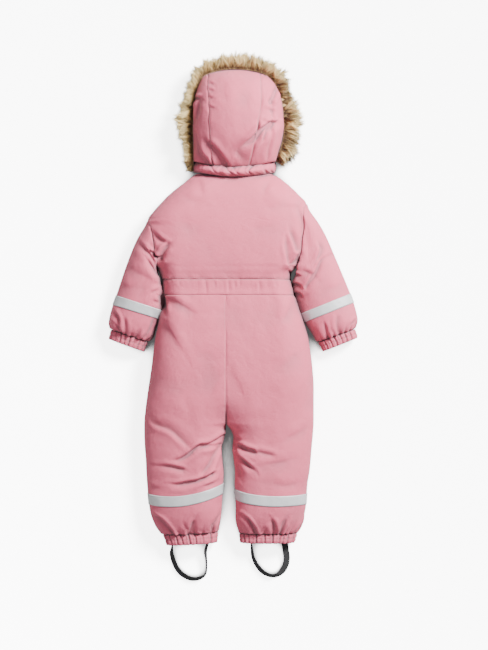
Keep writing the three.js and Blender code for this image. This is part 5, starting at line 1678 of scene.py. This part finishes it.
@dataclass
class Hood:
    """The hood: three panels, the edge round the face and the padded roll at the neck."""

    finishes: Finishes
    relief: Relief = field(default_factory=lambda: Relief(tuple(HOOD_CREASES), lumps=1.0, floor=HOOD_EDGE_HEIGHT))
    roll_folds: tuple[tuple[float, float, float], ...] = (
        (58.0, 0.9, 2.4), (88.0, 1.0, 2.8), (103.0, 0.9, 1.8), (132.0, 0.4, 0.9), (166.0, 0.8, 1.5), (196.0, -0.5, 1.4),
    )

    def section(self, row: Array) -> Section:
        """Returns the hood's cross sections at rows from the neck to the top edge."""
        left = np.stack([HOOD["left_x"](row), HOOD["left_y"](row)], axis=1)
        right = np.stack([HOOD["right_x"](row), HOOD["right_y"](row)], axis=1)
        round_ = 0.46 * (right[:, 0] - left[:, 0])
        edge = np.full_like(row, HOOD_EDGE_HEIGHT)
        shape = Profile(HOOD["crown"](row), edge, edge, round_, round_)
        return Section(left, right, np.ones_like(row), np.ones_like(row), HOOD["bow"](row), shape, shape)

    def _share(self, column: str, row: Array) -> Array:
        """Returns a seam's share across the hood at each row."""
        left = HOOD["left_x"](row)
        return (HOOD[column](row) - left) / (HOOD["right_x"](row) - left)

    def panel(self, name: str, node: str, start: str | None, end: str | None, columns: int) -> Grid:
        """Builds one panel of the hood.

        Args:
            name: The piece's name.
            node: The solid that it stands for.
            start: The seam that it starts at, or None for the hood's left edge.
            end: The seam that it ends at, or None for the hood's right edge.
            columns: The number of columns across it.

        Returns:
            The finished sheet.
        """
        row = HOOD_END * np.sin(np.pi / 2 * np.linspace(0.0, 1.0, 92))
        section = self.section(row)
        width = (section.right - section.left)[:, 0]
        low = self._share(start, row) + HALF_SEAM / width if start else 0 * row
        high = self._share(end, row) - HALF_SEAM / width if end else 1 + 0 * row
        u = np.linspace(0.0, 1.0, columns + 1)
        u = u if start and end else eased(u)
        r = low[:, None] + (high - low)[:, None] * u[None, :]
        upright = smooth((row - 96) / (HOOD_END - 96))
        over = np.ones(columns + 1, bool)
        outer = section.sheet(r, over)
        section.back.middle = section.back.middle + CLOTH * upright
        inner = section.sheet(r, over, -CLOTH)
        inner[..., 1] -= CLOTH * upright[:, None]
        plain = Grid(outer, inner)
        seams = [Seam(Edge.TOP, dip=0.5, pucker=0.8, seed=101), Seam(Edge.FOOT, dip=1.0, pucker=0.6, seed=104)]
        if start:
            seams.append(Seam(Edge.LEFT, dip=1.2, dip_width=2.2, pucker=1.0, reach=7.0, spacing=8.5, seed=102))
        if end:
            seams.append(Seam(Edge.RIGHT, dip=1.2, dip_width=2.2, pucker=1.0, reach=7.0, spacing=8.5, seed=103))
        height = self.relief.height(plain.points) * smooth((HOOD_END - row) / 12)[:, None]
        grid = plain.raised(height, tuple(seams))
        declare(cloth_object(name, grid, self.finishes.shell), node)
        return grid

    def rim(self, count: int) -> Array:
        """Returns the hood's rim from the left of the neck over the top to the right of the neck."""
        row = HOOD_END * np.sin(np.pi / 2 * np.linspace(0.0, 1.0, 60))
        side = self.section(row)
        top = self.section(np.array([HOOD_END])).sheet(np.linspace(0.0, 1.0, 60)[1:-1], np.ones(58, bool))[0, :, :2]
        line = np.concatenate([side.left, top, side.right[::-1]])
        for _ in range(14):
            line[1:-1] = (line[:-2] + 2 * line[1:-1] + line[2:]) / 4
        place = np.concatenate([[0.0], np.cumsum(np.linalg.norm(np.diff(line, axis=0), axis=1))])
        even = np.linspace(0.0, place[-1], count)
        return np.stack([np.interp(even, place, line[:, k]) for k in (0, 1)], axis=1)

    def edge(self) -> None:
        """Builds the strip that turns in under the hood towards the face."""
        rim = self.rim(200)
        tangent = np.gradient(rim, axis=0)
        tangent /= np.linalg.norm(tangent, axis=1, keepdims=True)
        inward = np.stack([tangent[:, 1], -tangent[:, 0]], axis=1)
        angle = np.pi / 2 * 0.9 * np.linspace(0.0, 1.0, 10)
        fall = HOOD_EDGE_HEIGHT - HOOD_FOOT
        sheets = []
        for off in (0.0, -CLOTH):
            tuck = HOOD_TUCK * (1 - np.cos(angle)) - off * np.cos(angle)
            z = HOOD_EDGE_HEIGHT - SEAM - (fall + off) * np.sin(angle)
            plan = rim[None] + inward[None] * tuck[:, None, None]
            sheets.append(np.dstack([plan, np.broadcast_to(z[:, None], plan.shape[:2])]))
        plain = Grid(*sheets)
        declare(cloth_object("face_edge", plain, self.finishes.shell), "hood_edge")

    def band(self) -> list[Array]:
        """Builds the padded roll at the hood's neck and returns its stitch lines."""
        along = np.linspace(HALF_SEAM, 24.0, 32)
        left = np.stack([BAND["left_x"](along), BAND["left_y"](along)], axis=1)
        right = np.stack([BAND["right_x"](along), BAND["right_y"](along)], axis=1)
        foot, round_ = np.full_like(along, 5.0), np.full_like(along, 62.0)
        puff = BAND["puff"](along)
        shape = Profile(50 + puff, foot, foot, round_, round_)
        ones = np.ones_like(along)
        section = Section(left, right, ones, ones, BAND["bow"](along), shape, shape)
        r = eased(np.linspace(0.0, 1.0, 171))
        over = np.ones(171, bool)
        outer = section.sheet(r, over)
        inner = np.array([section.sheet(r, over, -0.55 * float(p))[k] for k, p in enumerate(puff)])
        plain = Grid(outer, inner)
        noise = Noise(111)
        u, v = plain.u, plain.v
        height = 1.1 * noise.at(u / 10.0, v / 30.0) + 0.6 * noise.at(u / 5.0 + 20.0, v / 16.0)
        join = float(np.interp(45.0, plain.points[12, :, 0], u[12]))
        height -= 3.0 * np.exp(-(((u - join) / 3.0) ** 2))
        for start, slant, depth in self.roll_folds:
            height -= depth * np.exp(-((np.abs(u - start - slant * v) / 3.0) ** 1.4))
        height += 0.8 * np.sin(np.pi * v / v[-1:])
        grid = plain.raised(height, (Seam(Edge.TOP, dip=0.8, pucker=1.0, spacing=7.0), Seam(Edge.FOOT, dip=1.0)))
        declare(cloth_object("hood_roll", grid, self.finishes.shell), "hood_band")
        return [grid.line(Edge.TOP, 2.4)[10:-10]]

    def build(self) -> list[Array]:
        """Builds the hood and returns its stitch lines."""
        centre = self.panel("hood_middle", "hood_centre", "left_seam", "right_seam", 66)
        self.panel("hood_left", "hood_left_side", None, "left_seam", 38)
        self.panel("hood_right", "hood_right_side", "right_seam", None, 44)
        self.edge()
        return [centre.line(Edge.LEFT, 2.4)[2:-5], centre.line(Edge.RIGHT, 2.4)[2:-5], *self.band()]


@dataclass
class FurTrim:
    """The fur round the face: a dark backing, and hairs drawn together into tufts."""

    finishes: Finishes
    stations: int = 300
    rings: int = 15
    height: float = 40.0
    tuft_spacing: float = 4.8
    hair_count: int = 56000
    seed: int = 7

    def _frame(self, count: int) -> tuple[Array, Array, Array, Array]:
        """Returns places, outward directions and reaches along the trim, and its ends' taper."""
        row = spline(FUR_PATH, count)
        place = row[:, :2]
        tangent = np.gradient(place, axis=0)
        tangent /= np.linalg.norm(tangent, axis=1, keepdims=True)
        outward = np.stack([-tangent[:, 1], tangent[:, 0]], axis=1)
        low = smooth(np.minimum(np.arange(count), np.arange(count)[::-1]) / (0.07 * count))
        return place, outward, row[:, 2], mix(0.55, 1.0, low)

    def _backing(self) -> tuple[Array, Array, Array, Array]:
        """Returns the backing's points, its outward directions, reaches and turn round the trim."""
        place, outward, reach, low = self._frame(self.stations)
        theta = np.linspace(0.0, np.pi, self.rings)
        out = 0.42 * reach[:, None] * np.sin(theta)[None, :] ** 0.8 - 4.5 * smooth((theta - 2.5) / 0.6)[None, :]
        z = 5.0 + (self.height * low[:, None] - 9.0) * (1 - np.cos(theta))[None, :] / 2
        lumpy = Noise(self.seed).at(np.arange(self.stations)[:, None] / 5.0, theta[None, :] * 2.0)
        out = out + 1.2 * lumpy * np.sin(theta)[None, :]
        plan = place[:, None, :] + outward[:, None, :] * out[..., None]
        return np.dstack([plan, z]), outward, reach, theta

    def _core(self, sheet: Array) -> bpy.types.Object:
        """Closes the backing into a solid strip and returns it."""
        stations, rings = sheet.shape[:2]
        j, i = (k.ravel() for k in np.meshgrid(np.arange(stations - 1), np.arange(rings), indexing="ij"))
        nxt = (i + 1) % rings
        faces = np.stack([j * rings + i, j * rings + nxt, (j + 1) * rings + nxt, (j + 1) * rings + i], axis=1)
        caps = []
        for base, turn in ((0, 1), ((stations - 1) * rings, -1)):
            for k in range(1, rings // 2 + 1):
                quad = [base + k - 1, base + k, base + rings - 1 - k, base + (rings - k) % rings]
                caps.append(quad[::turn])
        points = sheet.reshape(-1, 3)
        faces = np.concatenate([faces, np.array(caps)])
        mesh = bpy.data.meshes.new("fur_backing")
        placed = (points + np.array(MIDDLE)) * MM
        clean = [tuple(dict.fromkeys(face)) for face in faces.tolist()]
        mesh.from_pydata(placed.tolist(), [], [face for face in clean if len(face) > 2])
        mesh.materials.append(self.finishes.backing)
        mesh.shade_smooth()
        piece = bpy.data.objects.new("fur_backing", mesh)
        bpy.context.scene.collection.objects.link(piece)
        return piece

    def _lie(self, sheet: Array, outward: Array, reach: Array, theta: Array) -> tuple[Array, Array]:
        """Works out which way the fur lies.

        Args:
            sheet: The backing's points.
            outward: The way out from the hood at each station.
            reach: How far the hair reaches there.
            theta: The turn round the trim of each ring of points.

        Returns:
            For each point, the vector from it to its tuft's tip, and how strongly the tuft is streaked dark: the fur's
            own streaks, lessened on the left of the trim as painted light.
        """
        random = np.random.default_rng(self.seed)
        step = np.linalg.norm(np.diff(sheet[:, self.rings // 2, :2], axis=0), axis=1)
        along = np.concatenate([[0.0], np.cumsum(step)])
        tufts = []
        for row, turn in enumerate((0.28, 0.95, 1.5, 2.05, 2.6, 3.0)):
            count = int(along[-1] / self.tuft_spacing)
            places = (np.arange(count) + 0.5 * (row % 2) + random.uniform(-0.3, 0.3, count)) * self.tuft_spacing
            tufts += [(float(p), turn + random.uniform(-0.15, 0.15)) for p in places]
        tufts = np.array(tufts)
        station = np.clip(np.searchsorted(along, tufts[:, 0]), 0, self.stations - 1)
        ring = np.clip((tufts[:, 1] / np.pi * (self.rings - 1)).astype(int), 0, self.rings - 1)
        root = sheet[station, ring]
        out = outward[station]
        side = np.stack([-out[:, 1], out[:, 0]], axis=1)
        lean = random.normal(0.0, 0.46, len(tufts))
        long = reach[station] * (0.44 + 0.7 * random.beta(1.2, 1.4, len(tufts)))
        rise = np.interp(tufts[:, 1], (0.3, 1.0, 1.5, 2.0, 2.6), (2.0, 5.0, 7.0, 10.0, 12.0))
        rise = rise + random.uniform(-5.0, 6.0, len(tufts))
        flat = out * np.cos(lean)[:, None] + side * np.sin(lean)[:, None]
        from_path = root[:, :2] - out * 0.42 * reach[station, None] * np.sin(tufts[:, 1:2]) ** 0.8
        tip_plan = from_path + flat * (long + 3.0)[:, None]
        tip = np.column_stack([tip_plan, np.clip(root[:, 2] + rise - 4.0, 3.0, 48.0)])
        grey = np.clip(random.beta(0.5, 1.15, len(tufts)), 0.0, 0.95)
        # Painted light: fewer dark streaks on the left half of the trim lighten the side that lies in the hood's
        # shadow; the streaks themselves are the fur's own colour.
        grey = grey * mix(0.6, 1.15, smooth((tufts[:, 0] / along[-1] - 0.5) / 0.2))
        a = along[:, None] + 0 * theta[None, :]
        b = (theta[None, :] * 17.0) + 0 * along[:, None]
        gap = (a.ravel()[:, None] - tufts[None, :, 0]) ** 2 + (b.ravel()[:, None] - 17.0 * tufts[None, :, 1]) ** 2
        nearest = gap.argmin(axis=1)
        points = sheet.reshape(-1, 3)
        to_tip = tip[nearest] - points
        plain = np.column_stack([flat[nearest] * long[nearest, None], rise[nearest]])
        return 0.86 * to_tip + 0.14 * plain, np.clip(grey[nearest], 0.0, 1.0)

    def _strand(self) -> bpy.types.Object:
        """Returns one hair, a bent tapering ribbon of unit length along Z, with its place along it stored."""
        t = np.array([0.0, 0.4, 0.75, 1.0])
        width = np.array([0.0095, 0.0105, 0.0065, 0.0])
        bend = 0.2 * t**2 - 0.2 * t
        sides = [(bend[k], s * width[k], t[k]) for k in range(3) for s in (-1, 1)]
        points = np.array([*sides, (bend[3], 0.0, 1.0)])
        faces = [(2 * k, 2 * k + 1, 2 * k + 3, 2 * k + 2) for k in range(2)] + [(4, 5, 6)]
        mesh = bpy.data.meshes.new("hair")
        mesh.from_pydata(points.tolist(), [], faces)
        along = mesh.attributes.new("along", "FLOAT", "POINT")
        along.data.foreach_set("value", points[:, 2])
        hair = bpy.data.objects.new("hair", mesh)
        bpy.context.scene.collection.objects.link(hair)
        return hair

    def _rig(self) -> Rig:
        """Returns the tree that plants hairs on the backing along its stored lie."""
        inputs = {
            "Hair": ("NodeSocketObject", None),
            "Density": ("NodeSocketFloat", 1e6),
            "Seed": ("NodeSocketInt", 0),
            "Material": ("NodeSocketMaterial", None),
        }
        rig = Rig("fur_planting", inputs)
        points = rig.node("GeometryNodeDistributePointsOnFaces", distribute_method="RANDOM")
        rig.feed(points, Mesh=rig.given["Geometry"], Density=rig.given["Density"], Seed=rig.given["Seed"])
        lie = rig.feed(rig.node("GeometryNodeInputNamedAttribute", data_type="FLOAT_VECTOR"), Name="lie")
        way = rig.node("FunctionNodeRandomValue", data_type="FLOAT_VECTOR")
        rig.feed(way, Min=(-0.0024, -0.0024, -0.0024), Max=(0.0024, 0.0024, 0.003), Seed=rig.given["Seed"])
        bent = rig.node("ShaderNodeVectorMath", operation="ADD")
        rig.tree.links.new(lie.outputs["Attribute"], bent.inputs[0])
        rig.tree.links.new(way.outputs["Value"], bent.inputs[1])
        aim = rig.node("FunctionNodeAlignRotationToVector", axis="Z")
        rig.feed(aim, Vector=bent.outputs[0])
        turn = rig.feed(rig.node("FunctionNodeRandomValue", data_type="FLOAT"), Min=0.0, Max=2 * math.pi)
        spin = rig.feed(rig.node("FunctionNodeAxisAngleToRotation"), Axis=(0.0, 0.0, 1.0))
        rig.tree.links.new(next(s for s in turn.outputs if s.enabled), spin.inputs["Angle"])
        posed = rig.node("FunctionNodeRotateRotation", rotation_space="LOCAL")
        rig.feed(posed, Rotation=aim.outputs[0], Rotate_By=spin.outputs[0])
        size = rig.node("ShaderNodeVectorMath", operation="LENGTH")
        rig.tree.links.new(bent.outputs[0], size.inputs[0])
        share = rig.feed(rig.node("FunctionNodeRandomValue", data_type="FLOAT"), Min=0.62, Max=1.1, Seed=5)
        long = rig.node("ShaderNodeMath", operation="MULTIPLY")
        rig.tree.links.new(size.outputs["Value"], long.inputs[0])
        rig.tree.links.new(next(s for s in share.outputs if s.enabled), long.inputs[1])
        planted = rig.node("GeometryNodeInstanceOnPoints")
        hair = rig.feed(rig.node("GeometryNodeObjectInfo"), Object=rig.given["Hair"])
        rig.feed(planted, Points=points.outputs["Points"], Instance=hair.outputs["Geometry"])
        rig.feed(planted, Rotation=posed.outputs[0], Scale=long.outputs[0])
        tone = rig.feed(rig.node("GeometryNodeInputNamedAttribute", data_type="FLOAT"), Name="tuft_shade")
        speck = rig.feed(rig.node("FunctionNodeRandomValue", data_type="FLOAT"), Min=-0.12, Max=0.2, Seed=9)
        shade = rig.node("ShaderNodeMath", operation="ADD", use_clamp=True)
        rig.tree.links.new(next(s for s in tone.outputs if s.enabled), shade.inputs[0])
        rig.tree.links.new(next(s for s in speck.outputs if s.enabled), shade.inputs[1])
        kept = rig.node("GeometryNodeStoreNamedAttribute", data_type="FLOAT", domain="INSTANCE")
        rig.feed(kept, Geometry=planted.outputs[0], Name="shade", Value=shade.outputs[0])
        rig.close(kept.outputs[0])
        return rig

    def build(self) -> None:
        """Builds the backing and the hairs, a part of the trim at a time."""
        sheet, outward, reach, theta = self._backing()
        core = self._core(sheet)
        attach(core, BODY)
        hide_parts("fur_trim")
        lie, grey = self._lie(sheet, outward, reach, theta)
        lie = lie.reshape(self.stations, self.rings, 3)
        grey = grey.reshape(self.stations, self.rings)
        hair = self._strand()
        rig = self._rig()
        area = 0.0
        parts = np.array_split(np.arange(self.stations), 3)
        sources = []
        for name, part in zip(("left", "top", "right"), parts):
            rows = np.append(part, part[-1] + 1) if part[-1] + 1 < self.stations else part
            cells = sheet[rows]
            j, i = (k.ravel() for k in np.meshgrid(np.arange(len(rows) - 1), np.arange(self.rings - 1), indexing="ij"))
            width = self.rings
            faces = np.stack([j * width + i, (j + 1) * width + i, (j + 1) * width + i + 1, j * width + i + 1], axis=1)
            source = mesh_object(f"fur_{name}_root", cells.reshape(-1, 3), faces, self.finishes.hair)
            vector = source.data.attributes.new("lie", "FLOAT_VECTOR", "POINT")
            vector.data.foreach_set("vector", (lie[rows] * MM).ravel())
            tone = source.data.attributes.new("tuft_shade", "FLOAT", "POINT")
            tone.data.foreach_set("value", grey[rows].ravel())
            area += sum(face.area for face in source.data.polygons)
            sources.append((name, source))
        for number, (name, source) in enumerate(sources):
            settings = {"Hair": hair, "Density": self.hair_count / area, "Seed": number, "Material": self.finishes.hair}
            piece = rig.run(source, f"fur_{name}", **settings)
            trim(piece)
        bpy.data.objects.remove(hair)


@dataclass
class FootStrap:
    """A ribbed elastic strap on edge, leaning over as it goes round."""

    name: str
    node: str
    rows: Array
    finishes: Finishes
    width: float = 15.0
    thick: float = 1.5
    ribs: int = 4
    steps: int = 96

    def build(self) -> None:
        """Builds the strap."""
        line = spline(self.rows, self.steps)
        tangent = np.gradient(line[:, :2], axis=0)
        tangent /= np.linalg.norm(tangent, axis=1, keepdims=True)
        lean = np.radians(np.minimum(1.6 * line[:, 3], 60.0))
        out = np.stack([tangent[:, 1], -tangent[:, 0], 0 * lean], axis=1)
        up = np.stack([0 * lean, 0 * lean, np.ones_like(lean)], axis=1)
        rib_up = up * np.cos(lean)[:, None] - out * np.sin(lean)[:, None]
        normal = up * np.sin(lean)[:, None] + out * np.cos(lean)[:, None]
        share = np.linspace(0.0, 1.0, 5 * self.ribs + 1)
        rib = 0.16 * np.abs(np.sin(np.pi * self.ribs * share)) ** 0.6
        edge = np.sqrt(np.clip(1 - (np.abs(2 * share - 1) ** 10), 0.0, 1.0))
        half = (self.thick / 2 - 0.16 + rib) * (0.35 + 0.65 * edge)
        base = line[:, :3].copy()
        base[:, 2] += self.thick / 2 * np.sin(lean)
        core = base[:, None, :] + rib_up[:, None, :] * (share * self.width)[None, :, None]
        outer = core + normal[:, None, :] * half[None, :, None]
        inner = core - normal[:, None, :] * half[None, :, None]
        grid = Grid(outer, inner)
        grid.points[..., 2] = np.maximum(grid.points[..., 2], 0.0)
        grid.inner[..., 2] = np.maximum(grid.inner[..., 2], 0.0)
        declare(cloth_object(self.name, grid, self.finishes.elastic), self.node)


@dataclass
class Studio:
    """The pale floor, the soft light and the camera over the suit."""

    height: float = 3.2
    centre: tuple[float, float] = (34.0, -16.0)
    frame_height: float = 1300.0
    sensor: float = 36.0
    floor_level: float = -0.0004
    floor_tone: float = 0.5
    floor_glare: float = 3.0
    floor_glow: float = 4.8
    glow_falloff: float = 1.4
    # The reach, span and least brightness of the painted shadow on the floor round the suit.
    shade_reach: float = 0.12
    shade_span: tuple[float, float] = (0.25, 0.6)
    shade_least: float = 0.06
    sky: float = 0.42
    key_place: tuple[float, float, float] = (1.4, 1.35, 1.6)
    key_power: float = 265.0

    def floor(self) -> None:
        """Lays the floor. To camera rays it looks brighter than the light it bounces, evened against the key light's
        falloff, and it glows for them; ambient occlusion paints shadow on it near the suit.
        """
        shader = Shader("pale_floor")
        noise = shader.node("ShaderNodeTexNoise")
        noise.inputs["Scale"].default_value = 3.0
        shader.link(shader.coordinates(uv=False), noise.inputs["Vector"])
        tones = shader.node("ShaderNodeMapRange")
        tones.inputs["To Min"].default_value = self.floor_tone
        tones.inputs["To Max"].default_value = 0.99 * self.floor_tone
        shader.link(noise.outputs["Fac"], tones.inputs["Value"])
        far = shader.node("ShaderNodeVectorMath", operation="DISTANCE")
        shader.link(shader.coordinates(uv=False), far.inputs[0])
        far.inputs[1].default_value = self.key_place
        share = shader.node("ShaderNodeMath", operation="DIVIDE")
        shader.link(far.outputs["Value"], share.inputs[0])
        share.inputs[1].default_value = math.dist(self.key_place, (0.0, 0.0, 0.0))
        evened = shader.node("ShaderNodeMath", operation="POWER")
        shader.link(share.outputs[0], evened.inputs[0])
        evened.inputs[1].default_value = 3.0
        glare = shader.node("ShaderNodeMath", operation="MULTIPLY")
        shader.link(evened.outputs[0], glare.inputs[0])
        glare.inputs[1].default_value = self.floor_glare
        seen = shader.node("ShaderNodeMapRange")
        seen.inputs["To Min"].default_value = 1.0
        shader.link(glare.outputs[0], seen.inputs["To Max"])
        path = shader.node("ShaderNodeLightPath")
        shader.link(path.outputs["Is Camera Ray"], seen.inputs["Value"])
        own = shader.node("ShaderNodeMath", operation="MULTIPLY")
        shader.link(path.outputs["Is Camera Ray"], own.inputs[0])
        own.inputs[1].default_value = self.floor_glow
        # Painted shadow: ambient occlusion darkens the floor's colour and its glow near the suit, most between the
        # legs.
        near = shader.node("ShaderNodeAmbientOcclusion", samples=32)
        near.inputs["Distance"].default_value = self.shade_reach
        hollow = shader.node("ShaderNodeMapRange", interpolation_type="SMOOTHSTEP")
        hollow.inputs["From Min"].default_value, hollow.inputs["From Max"].default_value = self.shade_span
        hollow.inputs["To Min"].default_value = self.shade_least
        shader.link(near.outputs["AO"], hollow.inputs["Value"])
        lit = shader.node("ShaderNodeMath", operation="MULTIPLY")
        shader.link(tones.outputs[0], lit.inputs[0])
        shader.link(hollow.outputs[0], lit.inputs[1])
        bright = shader.node("ShaderNodeMath", operation="MULTIPLY")
        shader.link(lit.outputs[0], bright.inputs[0])
        shader.link(seen.outputs[0], bright.inputs[1])
        paper = shader.node("ShaderNodeBsdfDiffuse")
        shader.link(bright.outputs[0], paper.inputs["Color"])
        glow = shader.node("ShaderNodeEmission")
        deeper = shader.node("ShaderNodeMath", operation="POWER")
        shader.link(hollow.outputs[0], deeper.inputs[0])
        deeper.inputs[1].default_value = self.glow_falloff
        strength = shader.node("ShaderNodeMath", operation="MULTIPLY")
        shader.link(deeper.outputs[0], strength.inputs[0])
        shader.link(own.outputs[0], strength.inputs[1])
        shader.link(strength.outputs[0], glow.inputs["Strength"])
        both = shader.node("ShaderNodeAddShader")
        shader.link(paper.outputs[0], both.inputs[0])
        shader.link(glow.outputs[0], both.inputs[1])
        output = next(n for n in shader.tree.nodes if n.bl_idname == "ShaderNodeOutputMaterial")
        shader.link(both.outputs[0], output.inputs["Surface"])
        shader.tree.nodes.remove(shader.skin)
        mesh = bpy.data.meshes.new("floor")
        half = 6.0
        sides = ((-half, -half), (half, -half), (half, half), (-half, half))
        mesh.from_pydata([(x, y, self.floor_level) for x, y in sides], [], [(0, 1, 2, 3)])
        mesh.materials.append(shader.material)
        ground = bpy.data.objects.new("floor", mesh)
        bpy.context.scene.collection.objects.link(ground)

    def light(self, name: str, place: tuple[float, float, float], size: float, power: float) -> None:
        """Hangs a soft square light that faces the suit."""
        lamp = bpy.data.lights.new(name, "AREA")
        lamp.shape = "SQUARE"
        lamp.size = size
        lamp.energy = power
        held = bpy.data.objects.new(name, lamp)
        held.location = place
        held.rotation_euler = (-Vector(place)).to_track_quat("-Z", "Y").to_euler()
        bpy.context.scene.collection.objects.link(held)

    def build(self) -> None:
        """Sets up the whole studio."""
        world = bpy.data.worlds.new("soft_room")
        world.use_nodes = True
        world.node_tree.nodes["Background"].inputs[0].default_value = (1.0, 1.0, 1.0, 1.0)
        world.node_tree.nodes["Background"].inputs[1].default_value = self.sky
        bpy.context.scene.world = world
        self.floor()
        self.light("key_light", self.key_place, 0.7, self.key_power)
        self.light("fill_light", (-1.6, -1.1, 1.9), 2.2, 20.0)
        camera = bpy.data.cameras.new("camera")
        camera.sensor_width = self.sensor
        camera.lens = self.sensor * (self.height / MM - SIDE_SEAM_HEIGHT) / self.frame_height
        camera.clip_end = 20.0
        held = bpy.data.objects.new("camera", camera)
        held.location = ((self.centre[0] + MIDDLE[0]) * MM, (self.centre[1] + MIDDLE[1]) * MM, self.height)
        bpy.context.scene.collection.objects.link(held)
        bpy.context.scene.camera = held


def main() -> None:
    """Builds the studio and every piece of the suit."""
    logging.basicConfig(level=logging.INFO, format="%(message)s")
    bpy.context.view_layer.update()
    Studio().build()
    finishes = Finishes()
    pink: list[Array] = []
    grey: list[Array] = []
    back = Back(finishes)
    pink += back.upper()
    pink += back.waistband()
    back.collar()
    for leg, pleats in ((LEFT, LEFT_HEM_PLEATS), (RIGHT, RIGHT_HEM_PLEATS)):
        cloth = LegCloth(leg, finishes, pleats)
        pink += cloth.back()
        grey += cloth.tape()
        name = leg.name
        ring = (f"{name}_ankle", f"{name}_hem", leg.hem, leg.hem_length, 26, 120 + leg.side)
        hem = GatheredRing(*ring, pleats, finishes)
        pink += hem.build()
    front = Front(finishes)
    front.half(LEFT)
    front.half(RIGHT)
    pink += front.placket()
    sleeves = (
        Sleeve("left", -1, LEFT_SLEEVE, LEFT_ARMHOLE, 220.0, 150.5, 170.5, LEFT_TUCK, LEFT_CUFF_PLEATS, finishes),
        Sleeve("right", 1, RIGHT_SLEEVE, RIGHT_ARMHOLE, 229.0, 160.5, 180.5, RIGHT_TUCK, RIGHT_CUFF_PLEATS, finishes),
    )
    for sleeve in sleeves:
        pink += sleeve.build()
        grey += sleeve.tape()
    pink += GatheredRing("left_wrist", "left_cuff", LEFT_CUFF, 21.0, 20, 131, LEFT_CUFF_PLEATS, finishes).build()
    pink += GatheredRing("right_wrist", "right_cuff", RIGHT_CUFF, 21.0, 20, 132, RIGHT_CUFF_PLEATS, finishes).build()
    pink += Hood(finishes).build()
    FurTrim(finishes).build()
    FootStrap("left_elastic", "left_foot_strap", LEFT_STRAP, finishes).build()
    FootStrap("right_elastic", "right_foot_strap", RIGHT_STRAP, finishes).build()
    sewing = Stitching()
    trim(sewing.sew("seam_stitches", pink, finishes.pink_thread))
    trim(sewing.sew("tape_stitches", grey, finishes.grey_thread))


if __name__ == "__main__":
    main()
